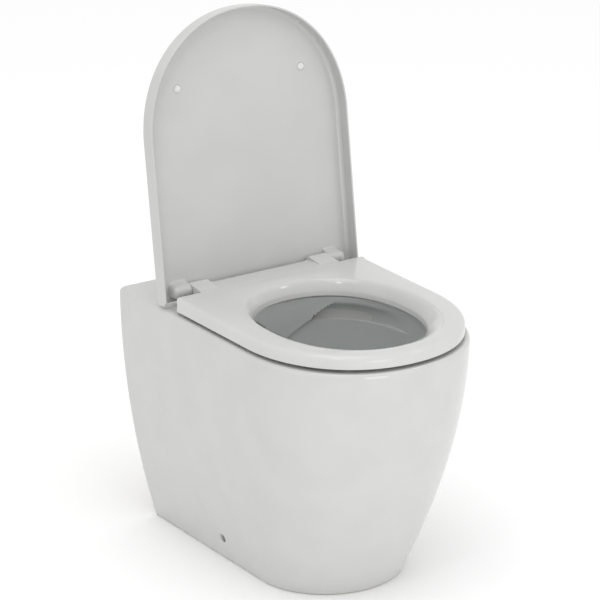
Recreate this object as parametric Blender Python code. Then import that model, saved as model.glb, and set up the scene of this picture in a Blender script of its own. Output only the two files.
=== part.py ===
"""Back-to-wall toilet pan with a wrap-over seat and lid on lift-off, soft-close hinges.

Run with: blender --background --python part.py
Metres, +Z up. The pan faces -Y and its back edge stands against a wall at +Y. The origin is on
the floor, midway between the two sides and midway between the front and the wall.
"""

import math

import bmesh
import bpy
from mathutils import Matrix, Vector

# ---------------------------------------------------------------- driving dimensions
GAP = 0.0003  # air between two pieces that touch

# The pan: a D-shaped plan that tapers from the rim down to the foot.
PAN_HEIGHT = 0.400
PAN_LENGTH = 0.545
PAN_HALF_WIDTH = 0.180
PAN_BOW = 0.189  # depth of the rounded front, in plan
PAN_FRONT_POWER = 2.17  # 2 is an ellipse, more is squarer
FOOT_FRONT_POWER = 2.0
FOOT_LENGTH = 0.427
FOOT_HALF_WIDTH = 0.120
FOOT_BOW = 0.115
WIDTH_TAPER_POWER = 1.98
LENGTH_TAPER_POWER = 1.60
RIM_EDGE_RADIUS = 0.008
BACK_CORNER_RADIUS = 0.004
SKIRT_WALL = 0.010
DECK_THICKNESS = 0.014
WALL_Y = PAN_LENGTH / 2
FOOT_EDGE = 0.003

# The bowl: an oval opening, a quarter-sine wall and a sump set towards the back.
OPENING_HALF_WIDTH = 0.128
OPENING_FRONT_Y = -0.2315
OPENING_BACK_Y = 0.0725
OPENING_EDGE_RADIUS = 0.005
SUMP_HALF_WIDTH = 0.040
SUMP_FRONT_Y = -0.060
SUMP_BACK_Y = 0.035
SUMP_FLOOR = 0.118
BOWL_WALL = 0.010
BOWL_POWER = 2.1

# The flush channel under the rim, and the hood that hides its middle.
CHANNEL_LOW = 0.363
CHANNEL_HIGH = 0.387
CHANNEL_DEPTH = 0.010
CHANNEL_FULL_Y = 0.020
CHANNEL_END_Y = -0.075
HOOD_TIP_Z = 0.338
HOOD_THICKNESS = 0.012
CHAMBER_HALF_WIDTH = 0.068
CHAMBER_DEPTH = 0.016

# Pipework inside the pan.
TRAP_BORE = 0.026
TRAP_WALL = 0.008
OUTLET_HEIGHT = 0.185
OUTLET_BORE = 0.041
OUTLET_END_Y = WALL_Y - 0.020
INLET_HEIGHT = 0.352
INLET_OUTER = 0.036
INLET_SOCKET = 0.0275
INLET_BORE = 0.020
INLET_END_Y = WALL_Y - 0.010
SEAL_LENGTH = 0.030

# The hinge axis, and where each knuckle sits along it (distances from the middle).
AXIS_Y = 0.1497
AXIS_Z = 0.4205
KNUCKLE_RADIUS = 0.0105
LUG_X = (0.0860, 0.0937)
SEAT_KNUCKLE_X = (0.0940, 0.1277)
LID_KNUCKLE_X = (0.1280, 0.1550)
LUG_RADIUS = 0.0050
PIN_RADIUS = 0.0029
PIN_X = (0.0875, 0.1515)
DAMPER_RADIUS = 0.0065
BUSH_RADIUS = 0.0050
SEAT_CARTRIDGE_END = 0.1240
SEAT_PIN_ROOM_END = 0.1300
LID_CARTRIDGE_END = 0.1500
LID_PIN_ROOM_END = 0.1520
LUG_BORE_END = 0.0950

# The post that stands on the deck, and the hinge body that drops over it.
SEAT_HOLE_X = 0.0775
POST_Y = AXIS_Y - 0.0042
POST_RADIUS = 0.0065
POST_FLANGE_RADIUS = 0.0095
POST_TOP = 0.4150
GASKET_THICKNESS = 0.0010
FLANGE_THICKNESS = 0.0014
BODY_X = (0.0660, 0.0937)
BODY_Y = (AXIS_Y - 0.0147, AXIS_Y + 0.0068)
BODY_TOP = 0.4195
BUTTON_X = 0.0889
BUTTON_SIZE = (0.0056, 0.0160, 0.0064)
BUTTON_Z = 0.4100
BUTTON_PROUD = 0.0022

# The fixing under the deck.
BOLT_RADIUS = 0.0040
BOLT_HEAD_RADIUS = 0.0056
BOLT_HEAD_HEIGHT = 0.0018
HEX_SOCKET_RADIUS = 0.0025
GASKET_RADIUS = 0.0100
BOLT_END_Z = 0.330
HOLE_RADIUS = 0.0065
CONE_HEIGHT = 0.014
CONE_RADIUS = 0.0120
WASHER_THICKNESS = 0.0015
WASHER_RADIUS = 0.0110
NUT_HEIGHT = 0.012
NUT_RADIUS = 0.0085
WING_SPAN = 0.0400

# The seat ring.
SEAT_UNDERSIDE = 0.4056
SEAT_TOP = 0.4275
SEAT_HALF_WIDTH = 0.1747
SEAT_FRONT_Y = -0.2680
SEAT_BACK_Y = 0.1150
SEAT_BOW = 0.190
SEAT_FRONT_POWER = 2.12
SEAT_CORNER_RADIUS = 0.006
SEAT_HOLE_LOW = (0.1208, 0.1439, -0.0799)  # half width, half length, centre y at the underside
SEAT_HOLE_TOP = (0.1316, 0.1473, -0.0828)  # the same at the top edge
SEAT_HOLE_TOP_Z = 0.4216
SEAT_REAR_Y = AXIS_Y - 0.0007
SEAT_REAR_TOP = 0.4256
SEAT_BUFFERS = ((0.085, -0.212), (0.147, 0.030))
SEAT_BUFFER_RADIUS = 0.007

# The lid, a shallow tray. Its own frame runs up from the rear edge and forward from the outside.
LID_LEAN = math.radians(7.63)
LID_REAR = Vector((0.0, WALL_Y - 0.111, 0.403))
LID_LENGTH = 0.4375
LID_HALF_WIDTH = 0.1798
LID_BOW = 0.189
LID_FRONT_POWER = 2.10
LID_DEPTH = 0.0276
LID_PANEL = 0.0045
LID_LIP = 0.0030
LID_EDGE_RADIUS = 0.006
LID_BUFFER = (0.113, 0.325)  # distance from the middle, distance up from the rear edge
LID_BUFFER_RADIUS = 0.006
LID_BUFFER_TIP = 0.0067

# The concealed floor fixing.
SIDE_HOLE_Y = 0.055
SIDE_HOLE_Z = 0.040
SIDE_HOLE_RADIUS = 0.0065
BRACKET_X = (0.070, 0.1085)
BOSS_END_X = 0.1180
BOSS_RADIUS = 0.0080
BRACKET_Y = (SIDE_HOLE_Y - 0.020, SIDE_HOLE_Y + 0.020)
BRACKET_HEIGHT = 0.062
BRACKET_PLATE = 0.006
FLOOR_SCREW_X = 0.088
SCREW_SHANK = 0.0027

SIDES = (("left", -1), ("right", 1))


# ---------------------------------------------------------------- shared tools
def remove_everything():
    for thing in list(bpy.data.objects):
        bpy.data.objects.remove(thing, do_unlink=True)


def material(name, colour, roughness, metallic=0.0):
    made = bpy.data.materials.new(name)
    made.use_nodes = True
    shader = made.node_tree.nodes["Principled BSDF"]
    shader.inputs["Base Color"].default_value = (*colour, 1.0)
    shader.inputs["Roughness"].default_value = roughness
    shader.inputs["Metallic"].default_value = metallic
    made.diffuse_color = (*colour, 1.0)
    return made


def add_object(name, bm, look=None, smooth=True):
    """Turn a bmesh into an object with outward normals."""
    bmesh.ops.recalc_face_normals(bm, faces=bm.faces)
    mesh = bpy.data.meshes.new(name)
    bm.to_mesh(mesh)
    bm.free()
    made = bpy.data.objects.new(name, mesh)
    bpy.context.scene.collection.objects.link(made)
    if look:
        mesh.materials.append(look)
    if smooth:
        mesh.shade_smooth()
    return made


def loft(name, loops, look=None, closed=False):
    """Skin a stack of loops of equal length; the ends are capped unless the stack is a ring."""
    bm = bmesh.new()
    rows = [[bm.verts.new(point) for point in loop] for loop in loops]
    pairs = list(zip(rows, rows[1:]))
    if closed:
        pairs.append((rows[-1], rows[0]))
    for low, high in pairs:
        for i in range(len(low)):
            j = (i + 1) % len(low)
            bm.faces.new((low[i], low[j], high[j], high[i]))
    if not closed:
        bm.faces.new(rows[0])
        bm.faces.new(rows[-1])
    return add_object(name, bm, look)


def block(name, low, high, look=None, bevel=0.0):
    """A box between two corners, with its edges rounded by a Bevel modifier."""
    bm = bmesh.new()
    size = [b - a for a, b in zip(low, high)]
    middle = [(a + b) / 2 for a, b in zip(low, high)]
    bmesh.ops.create_cube(bm, size=1.0, matrix=Matrix.LocRotScale(middle, None, size))
    made = add_object(name, bm, look, smooth=False)
    if bevel:
        rounding = made.modifiers.new("rounded edges", "BEVEL")
        rounding.width = bevel
        rounding.segments = 2
    return made


def turned(name, profile, centre, axis, look=None, sides=20):
    """Turn a profile of (distance along the axis, radius) rows about an axis through a point."""
    turn = Vector((0, 0, 1)).rotation_difference(Vector(axis)).to_matrix()
    loops = []
    for along, radius in profile:
        ring = []
        for i in range(sides):
            a = 2 * math.pi * i / sides
            local = Vector((radius * math.cos(a), radius * math.sin(a), along))
            ring.append(Vector(centre) + turn @ local)
        loops.append(ring)
    return loft(name, loops, look)


def tube_ring(name, profile, centre, axis, look=None, sides=20):
    """Turn a closed profile that stays off the axis, which makes a ring."""
    turn = Vector((0, 0, 1)).rotation_difference(Vector(axis)).to_matrix()
    loops = []
    for i in range(sides):
        a = 2 * math.pi * i / sides
        loop = [
            Vector(centre) + turn @ Vector((r * math.cos(a), r * math.sin(a), along))
            for along, r in profile
        ]
        loops.append(loop)
    return loft(name, loops, look, closed=True)


def combine(target, operation, tool):
    """Boolean the tool into the target, and keep the tool as a hidden wire object."""
    step = target.modifiers.new(f"{operation.lower()} {tool.name}", "BOOLEAN")
    step.operation = operation
    step.object = tool
    tool.hide_render = True
    tool.display_type = "WIRE"


def cut(target, tool):
    combine(target, "DIFFERENCE", tool)


def join(target, tool):
    combine(target, "UNION", tool)


def d_outline(half_width, length, bow, power, corner=0.0, inset=0.0, arc_steps=28):
    """A D in plan as (across, forward) points: a straight back, straight sides, a rounded front.

    Forward is measured from the back edge. The inset shrinks the sides and the front only.
    """
    wide = half_width - inset
    long = length - inset
    round_part = bow - inset
    points = []
    if corner:
        for step in range(3):
            a = math.pi / 4 * step
            points.append((wide - corner * (1 - math.sin(a)), corner * (1 - math.cos(a))))
    else:
        points.append((wide, 0.0))
    points.append((wide, (long - round_part) / 2))
    for step in range(arc_steps + 1):
        a = math.pi * step / arc_steps
        across = math.copysign(abs(math.cos(a)) ** (2 / power), math.cos(a))
        ahead = math.sin(a) ** (2 / power)
        points.append((wide * across, long - round_part + round_part * ahead))
    points.append((-wide, (long - round_part) / 2))
    points += [(-x, y) for x, y in reversed(points[: 3 if corner else 1])]
    return points


def lerp(a, b, share):
    return a + (b - a) * share


def smoothstep(value):
    value = min(max(value, 0.0), 1.0)
    return value * value * (3 - 2 * value)


# ---------------------------------------------------------------- the pan
def pan_section(z, inset=0.0, back=WALL_Y):
    """The pan's outline at one height."""
    drop = max((PAN_HEIGHT - z) / PAN_HEIGHT, 0.0)
    half_width = lerp(PAN_HALF_WIDTH, FOOT_HALF_WIDTH, drop**WIDTH_TAPER_POWER)
    length = lerp(PAN_LENGTH, FOOT_LENGTH, drop**LENGTH_TAPER_POWER)
    bow = lerp(PAN_BOW, FOOT_BOW, drop)
    power = lerp(PAN_FRONT_POWER, FOOT_FRONT_POWER, drop)
    outline = d_outline(half_width, length, bow, power, BACK_CORNER_RADIUS, inset)
    return [(x, back - ahead, z) for x, ahead in outline]


def pan_outside():
    """The full outer shape, from the foot up over the rounded rim."""
    loops = [pan_section(0.0, FOOT_EDGE), pan_section(FOOT_EDGE)]
    straight_top = PAN_HEIGHT - RIM_EDGE_RADIUS
    steps = 8
    for step in range(1, steps + 1):
        loops.append(pan_section(straight_top * step / steps))
    for degrees in (22.5, 45, 67.5, 90):
        a = math.radians(degrees)
        height = straight_top + RIM_EDGE_RADIUS * math.sin(a)
        inset = RIM_EDGE_RADIUS * (1 - math.cos(a))
        back = WALL_Y - BACK_CORNER_RADIUS * (1 - math.cos(a))
        loops.append([(x, y, height) for x, y, _ in pan_section(height, inset, back)])
    return loops


def pan_hollow():
    """The space inside the skirt, open at the floor and at the wall."""
    top = PAN_HEIGHT - DECK_THICKNESS
    heights = [-0.005] + [top * step / 8 for step in range(1, 9)]
    past_the_wall = 0.010
    loops = []
    for z in heights:
        outline = pan_section(max(z, 0.0), SKIRT_WALL)
        near_wall = WALL_Y - 2 * BACK_CORNER_RADIUS
        loops.append([(x, y + past_the_wall * (y > near_wall), z) for x, y, _ in outline])
    return loops


def bowl_section(z, offset=0.0, steps=36):
    """The bowl's oval outline at one height, grown by an offset that may depend on y."""
    share = (z - SUMP_FLOOR) / (CHANNEL_LOW - SUMP_FLOOR)
    share = min(max(share, 0.0), 1.0)
    reach = math.sin(math.pi / 2 * share)
    half = lerp(SUMP_HALF_WIDTH, OPENING_HALF_WIDTH, reach)
    front = lerp(SUMP_FRONT_Y, OPENING_FRONT_Y, reach)
    back = lerp(SUMP_BACK_Y, OPENING_BACK_Y, reach)
    middle = (front + back) / 2
    points = []
    for i in range(steps):
        a = 2 * math.pi * i / steps
        x = math.copysign(abs(math.cos(a)) ** (2 / BOWL_POWER), math.cos(a))
        y = math.copysign(abs(math.sin(a)) ** (2 / BOWL_POWER), math.sin(a))
        here = Vector((half * x, middle + (back - front) / 2 * y, z))
        grow = offset(here.y) if callable(offset) else offset
        outward = Vector((math.cos(a), math.sin(a), 0))
        points.append(here + outward * grow)
    return points


def channel_depth(y):
    """The flush channel is full depth at the back and fades out along the sides."""
    return CHANNEL_DEPTH * smoothstep((y - CHANNEL_END_Y) / (CHANNEL_FULL_Y - CHANNEL_END_Y))


def bowl_inside():
    heights = [SUMP_FLOOR + 0.0001] + [
        lerp(SUMP_FLOOR, CHANNEL_LOW, step / 9) for step in (0.6, 1.5, 3, 4.5, 6, 7.5, 9)
    ]
    loops = [bowl_section(z) for z in heights]
    loops[0] = bowl_section(heights[0], -0.012)
    loops.append(bowl_section(CHANNEL_LOW + 0.003, channel_depth))
    loops.append(bowl_section(CHANNEL_HIGH - 0.006, channel_depth))
    loops.append(bowl_section(CHANNEL_HIGH))
    edge = OPENING_EDGE_RADIUS
    loops.append(bowl_section(PAN_HEIGHT - edge))
    loops.append(bowl_section(PAN_HEIGHT - 0.3 * edge, 0.29 * edge))
    loops.append(bowl_section(PAN_HEIGHT, edge))
    loops.append(bowl_section(PAN_HEIGHT + 0.005, edge))
    return loops


def bowl_outside():
    """The bowl's hidden side, which swells out round the flush channel near the top."""
    loops = [bowl_section(SUMP_FLOOR - BOWL_WALL)]
    for step in (0.8, 2, 3.5, 5, 6.5, 8):
        loops.append(bowl_section(lerp(SUMP_FLOOR, CHANNEL_LOW, step / 9), BOWL_WALL))
    swell_low = CHANNEL_LOW - 0.015
    for z in (swell_low, PAN_HEIGHT - DECK_THICKNESS / 2):
        loop = bowl_section(CHANNEL_LOW, lambda y: BOWL_WALL + channel_depth(y))
        loops.append([(point.x, point.y, z) for point in loop])
    return loops


def smooth_path(points, per_span=3):
    """A Catmull-Rom curve through (y, z, radius) points."""
    padded = [points[0]] + list(points) + [points[-1]]
    out = []
    for p0, p1, p2, p3 in zip(padded, padded[1:], padded[2:], padded[3:]):
        for step in range(per_span):
            t = step / per_span
            out.append(
                [
                    b + t / 2 * (c - a + t * (2 * a - 5 * b + 4 * c - d + t * (3 * (b - c) + d - a)))
                    for a, b, c, d in zip(p0, p1, p2, p3)
                ]
            )
    out.append(list(points[-1]))
    return out


def pipe(name, points, grow=0.0, sides=20):
    """A pipe whose middle line lies in the plane x = 0, from (y, z, radius) points."""
    path = smooth_path(points)
    loops = []
    for i, (y, z, radius) in enumerate(path):
        before = path[max(i - 1, 0)]
        after = path[min(i + 1, len(path) - 1)]
        along = Vector((0, after[0] - before[0], after[1] - before[1])).normalized()
        up = Vector((1, 0, 0)).cross(along)
        ring = []
        for k in range(sides):
            a = 2 * math.pi * k / sides
            out = Vector((1, 0, 0)) * math.cos(a) + up * math.sin(a)
            ring.append(Vector((0, y, z)) + out * (radius + grow))
        loops.append(ring)
    return loft(name, loops)


def trap_path(start, end):
    """From the sump down, back up over the weir, and out to the soil pipe."""
    bore = TRAP_BORE
    return [
        start,
        (0.036, 0.108, bore),
        (0.068, 0.104, bore),
        (0.100, 0.130, bore),
        (0.122, 0.172, bore),
        (0.150, 0.208, bore),
        (0.180, 0.212, bore + 0.002),
        (0.205, 0.198, bore + 0.008),
        (0.226, OUTLET_HEIGHT, OUTLET_BORE),
        (end, OUTLET_HEIGHT, OUTLET_BORE),
    ]


def build_pan(china):
    pan = loft("pan", pan_outside(), china)
    cut(pan, loft("cut_skirt_hollow", pan_hollow()))
    join(pan, loft("add_bowl_wall", bowl_outside()))
    join(pan, pipe("add_trapway", trap_path((0.015, 0.125, TRAP_BORE), OUTLET_END_Y), TRAP_WALL))
    housing_back = OPENING_BACK_Y + HOOD_THICKNESS + CHAMBER_DEPTH + BOWL_WALL
    housing_low = (-CHAMBER_HALF_WIDTH - BOWL_WALL, 0.050, CHANNEL_LOW - 0.028)
    housing_high = (CHAMBER_HALF_WIDTH + BOWL_WALL, housing_back, PAN_HEIGHT - 0.006)
    join(pan, block("add_flush_housing", housing_low, housing_high, bevel=0.004))
    inlet_length = INLET_END_Y - housing_back + 0.005
    inlet_start = (0, INLET_END_Y, INLET_HEIGHT)
    inlet_shell = [(0.0, INLET_OUTER), (inlet_length, INLET_OUTER)]
    join(pan, turned("add_inlet", inlet_shell, inlet_start, (0, -1, 0)))

    cut(pan, loft("cut_bowl", bowl_inside()))
    chamber_front = OPENING_BACK_Y - 0.020
    chamber_back = housing_back - BOWL_WALL
    chamber_low = (-CHAMBER_HALF_WIDTH, chamber_front, CHANNEL_LOW - 0.015)
    chamber_high = (CHAMBER_HALF_WIDTH, chamber_back, CHANNEL_HIGH - 0.002)
    cut(pan, block("cut_flush_chamber", chamber_low, chamber_high, bevel=0.004))
    bore_depth = INLET_END_Y - chamber_back + 0.004
    inlet_bore = [
        (-0.005, INLET_SOCKET),
        (0.040, INLET_SOCKET),
        (0.044, INLET_BORE),
        (bore_depth, INLET_BORE),
    ]
    cut(pan, turned("cut_inlet", inlet_bore, inlet_start, (0, -1, 0), sides=32))
    start = (0.015, 0.132, TRAP_BORE - 0.004)
    cut(pan, pipe("cut_trapway", trap_path(start, OUTLET_END_Y + 0.005)))
    join(pan, hood())

    for side, sign in SIDES:
        hole = [(-0.004, HOLE_RADIUS), (DECK_THICKNESS + 0.004, HOLE_RADIUS)]
        at = (sign * SEAT_HOLE_X, POST_Y, PAN_HEIGHT)
        cut(pan, turned(f"cut_seat_hole_{side}", hole, at, (0, 0, -1), sides=16))
        hole = [(0.0, SIDE_HOLE_RADIUS), (0.050, SIDE_HOLE_RADIUS)]
        at = (sign * 0.100, SIDE_HOLE_Y, SIDE_HOLE_Z)
        cut(pan, turned(f"cut_side_hole_{side}", hole, at, (sign, 0, 0), sides=16))
    return pan


def hood():
    """The tongue at the back of the bowl that turns the flush water to both sides."""
    half = [
        (0.0, HOOD_TIP_Z),
        (0.008, HOOD_TIP_Z + 0.002),
        (0.030, 0.355),
        (0.053, 0.3835),
        (0.060, 0.394),
    ]
    profile = [(-x, z) for x, z in reversed(half[1:])] + half
    loops = []
    for depth in (0.0, HOOD_THICKNESS):
        loop = []
        for x, z in profile:
            across = abs(x / OPENING_HALF_WIDTH) ** BOWL_POWER
            half_length = (OPENING_BACK_Y - OPENING_FRONT_Y) / 2
            wall = OPENING_BACK_Y - half_length * (1 - (1 - across) ** (1 / BOWL_POWER))
            loop.append((x, wall + depth, z))
        loops.append(loop)
    return loft("add_hood", loops)


# ---------------------------------------------------------------- the seat
def oval_radius(half_width, half_length, angle):
    """Distance from an ellipse's centre to its edge in one direction."""
    return 1 / math.hypot(math.cos(angle) / half_width, math.sin(angle) / half_length)


def seat_ring():
    """The ring's cross-section, repeated at every station round the outline."""
    outline = d_outline(
        SEAT_HALF_WIDTH,
        SEAT_BACK_Y - SEAT_FRONT_Y,
        SEAT_BOW,
        SEAT_FRONT_POWER,
        SEAT_CORNER_RADIUS,
        arc_steps=34,
    )
    back = outline[-1][0], outline[0][0]
    across_back = [lerp(*back, step / 6) for step in range(1, 6)]
    stations = [(x, SEAT_BACK_Y - ahead) for x, ahead in outline]
    stations += [(x, SEAT_BACK_Y) for x in across_back]
    centre = Vector((0.0, SEAT_HOLE_LOW[2]))
    crown = (SEAT_HOLE_TOP_Z + SEAT_TOP) / 2
    loops = []
    for x, y in stations:
        outer = Vector((x, y))
        spoke = outer - centre
        angle = math.atan2(spoke.y, spoke.x)
        out = spoke.normalized()
        low = centre + out * oval_radius(*SEAT_HOLE_LOW[:2], angle)
        shift = Vector((0.0, SEAT_HOLE_TOP[2] - SEAT_HOLE_LOW[2]))
        top = centre + shift + out * oval_radius(*SEAT_HOLE_TOP[:2], angle)
        rows = [
            (low + out * 0.002, SEAT_UNDERSIDE),
            (outer - out * 0.002, SEAT_UNDERSIDE),
            (outer, SEAT_UNDERSIDE + 0.002),
            (outer, SEAT_UNDERSIDE + 0.0095),
            (outer - out * 0.0015, SEAT_UNDERSIDE + 0.0134),
            (outer - out * 0.0045, SEAT_UNDERSIDE + 0.0168),
            (outer - out * 0.0100, SEAT_UNDERSIDE + 0.0195),
            (outer - out * 0.0180, SEAT_TOP - 0.0008),
            ((outer + top) / 2, SEAT_TOP),
            (top + out * 0.008, SEAT_TOP - 0.0010),
            (top + out * 0.002, crown),
            (top - out * 0.001, SEAT_HOLE_TOP_Z - 0.0010),
            (low, SEAT_UNDERSIDE + 0.002),
        ]
        loops.append([(point.x, point.y, z) for point, z in rows])
    return loops


def knuckle(name, x_range, sign, look=None, radius=KNUCKLE_RADIUS):
    length = x_range[1] - x_range[0]
    at = (sign * x_range[0], AXIS_Y, AXIS_Z)
    soft = 0.0008
    rows = [
        (0.0, radius - soft),
        (soft, radius),
        (length - soft, radius),
        (length, radius - soft),
    ]
    return turned(name, rows, at, (sign, 0, 0), look)


def bore(name, x_from, x_to, radius, sign):
    at = (sign * x_from, AXIS_Y, AXIS_Z)
    return turned(name, [(0.0, radius), (x_to - x_from, radius)], at, (sign, 0, 0))


def build_seat(thermoset):
    seat = loft("seat", seat_ring(), thermoset, closed=True)
    rear_low = (-SEAT_KNUCKLE_X[1] - 0.001, SEAT_BACK_Y - 0.020, SEAT_UNDERSIDE)
    rear_high = (SEAT_KNUCKLE_X[1] + 0.001, SEAT_REAR_Y, SEAT_REAR_TOP)
    join(seat, block("add_seat_rear", rear_low, rear_high, bevel=0.002))
    for side, sign in SIDES:
        join(seat, knuckle(f"add_seat_knuckle_{side}", SEAT_KNUCKLE_X, sign))
        clear_x = sorted((sign * SEAT_KNUCKLE_X[1], sign * (LID_KNUCKLE_X[1] + 0.003)))
        clear_low = (clear_x[0], AXIS_Y - KNUCKLE_RADIUS - 0.003, 0.400)
        clear_high = (clear_x[1], AXIS_Y + 0.020, 0.435)
        cut(seat, block(f"cut_lid_knuckle_room_{side}", clear_low, clear_high))
        pocket_x = sorted((sign * (BODY_X[0] - 0.0008), sign * SEAT_KNUCKLE_X[0]))
        pocket_low = (pocket_x[0], BODY_Y[0] - BUTTON_PROUD - 0.0008, 0.400)
        pocket_high = (pocket_x[1], AXIS_Y + 0.015, AXIS_Z - 0.0002)
        cut(seat, block(f"cut_hinge_pocket_{side}", pocket_low, pocket_high))
        lug_from = LUG_X[0] - 0.0008
        lug_room = bore(
            f"cut_lug_room_{side}", lug_from, SEAT_KNUCKLE_X[0], LUG_RADIUS + 0.0005, sign
        )
        cut(seat, lug_room)
        wide = DAMPER_RADIUS if sign < 0 else BUSH_RADIUS
        inner = SEAT_KNUCKLE_X[0] - 0.001
        cut(seat, bore(f"cut_seat_bore_{side}", inner, SEAT_CARTRIDGE_END, wide + GAP, sign))
        cut(seat, bore(f"cut_seat_pin_{side}", inner, SEAT_PIN_ROOM_END, PIN_RADIUS + GAP, sign))
        for number, (x, y) in enumerate(SEAT_BUFFERS):
            rows = [(-0.003, SEAT_BUFFER_RADIUS + GAP), (0.002, SEAT_BUFFER_RADIUS + GAP)]
            at = (sign * x, y, SEAT_UNDERSIDE)
            cut(seat, turned(f"cut_seat_buffer_{side}_{number}", rows, at, (0, 0, 1), sides=20))
    return seat


def build_seat_buffers(rubber):
    places = ("front", "rear")
    for side, sign in SIDES:
        for place, (x, y) in zip(places, SEAT_BUFFERS):
            top = SEAT_UNDERSIDE + 0.002 - GAP - (PAN_HEIGHT + GAP)
            r = SEAT_BUFFER_RADIUS
            rows = [(0.0, r - 0.0012), (0.0012, r), (top, r)]
            at = (sign * x, y, PAN_HEIGHT + GAP)
            turned(f"seat_buffer_{place}_{side}", rows, at, (0, 0, 1), rubber, sides=20)


# ---------------------------------------------------------------- the lid
def lid_point(across, up, forward):
    """A point in the lid's own frame, where it stands open at rest."""
    rise = Vector((0, math.sin(LID_LEAN), math.cos(LID_LEAN)))
    ahead = Vector((0, -math.cos(LID_LEAN), math.sin(LID_LEAN)))
    return LID_REAR + Vector((across, 0, 0)) + rise * up + ahead * forward


def lid_loop(forward, inset, rear=0.0):
    outline = d_outline(
        LID_HALF_WIDTH, LID_LENGTH - rear, LID_BOW, LID_FRONT_POWER, inset=inset, arc_steps=34
    )
    return [lid_point(x, rear + up, forward) for x, up in outline]


def build_lid(thermoset):
    r = LID_EDGE_RADIUS
    outside = []
    for degrees in (0, 30, 60, 90):
        a = math.radians(degrees)
        depth = r * (1 - math.cos(a))
        inset = r * (1 - math.sin(a))
        outside.append(lid_loop(depth, inset, 0.3 * inset))
    outside += [lid_loop(LID_DEPTH - 0.001, 0.0), lid_loop(LID_DEPTH, 0.0008)]
    lid = loft("lid", outside, thermoset)

    inside = []
    open_rear = -0.006
    for degrees in (0, 30, 60, 90):
        a = math.radians(degrees)
        depth = LID_PANEL + r * (1 - math.cos(a))
        inset = LID_LIP + r * (1 - math.sin(a))
        inside.append(lid_loop(depth, inset, open_rear))
    inside.append(lid_loop(LID_DEPTH + 0.003, LID_LIP - 0.0004, open_rear))
    cut(lid, loft("cut_lid_inside", inside))

    corner = block("cut_lid_rear_corner", (-0.19, -0.0060, -0.0060), (0.19, 0.0060, 0.0060))
    corner.location = lid_point(0, -0.001, LID_DEPTH + 0.001)
    corner.rotation_euler = (math.pi / 4 - LID_LEAN, 0, 0)
    cut(lid, corner)

    for side, sign in SIDES:
        clear_from = SEAT_KNUCKLE_X[0] - 0.0015
        room = bore(
            f"cut_seat_knuckle_room_{side}",
            clear_from,
            LID_KNUCKLE_X[0] + 0.0001,
            KNUCKLE_RADIUS + GAP,
            sign,
        )
        cut(lid, room)
        join(lid, knuckle(f"add_lid_knuckle_{side}", LID_KNUCKLE_X, sign))
        wide = DAMPER_RADIUS if sign > 0 else BUSH_RADIUS
        inner = LID_KNUCKLE_X[0] - 0.001
        cut(lid, bore(f"cut_lid_bore_{side}", inner, LID_CARTRIDGE_END, wide + GAP, sign))
        cut(lid, bore(f"cut_lid_pin_{side}", inner, LID_PIN_ROOM_END, PIN_RADIUS + GAP, sign))
        x, up = LID_BUFFER
        ahead = lid_point(0, 0, 1) - lid_point(0, 0, 0)
        rows = [(-0.0012, LID_BUFFER_RADIUS + GAP), (0.003, LID_BUFFER_RADIUS + GAP)]
        at = lid_point(sign * x, up, LID_PANEL)
        cut(lid, turned(f"cut_lid_buffer_{side}", rows, at, ahead, sides=20))
    return lid


def build_lid_buffers(rubber):
    ahead = lid_point(0, 0, 1) - lid_point(0, 0, 0)
    base = LID_PANEL - 0.0012 + GAP
    height = LID_BUFFER_TIP - base
    r = LID_BUFFER_RADIUS
    rows = [(0.0, r), (0.0012, r), (height - 0.0008, 0.75 * r), (height, 0.40 * r)]
    for side, sign in SIDES:
        at = lid_point(sign * LID_BUFFER[0], LID_BUFFER[1], base)
        turned(f"lid_buffer_{side}", rows, at, ahead, rubber, sides=20)


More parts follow.
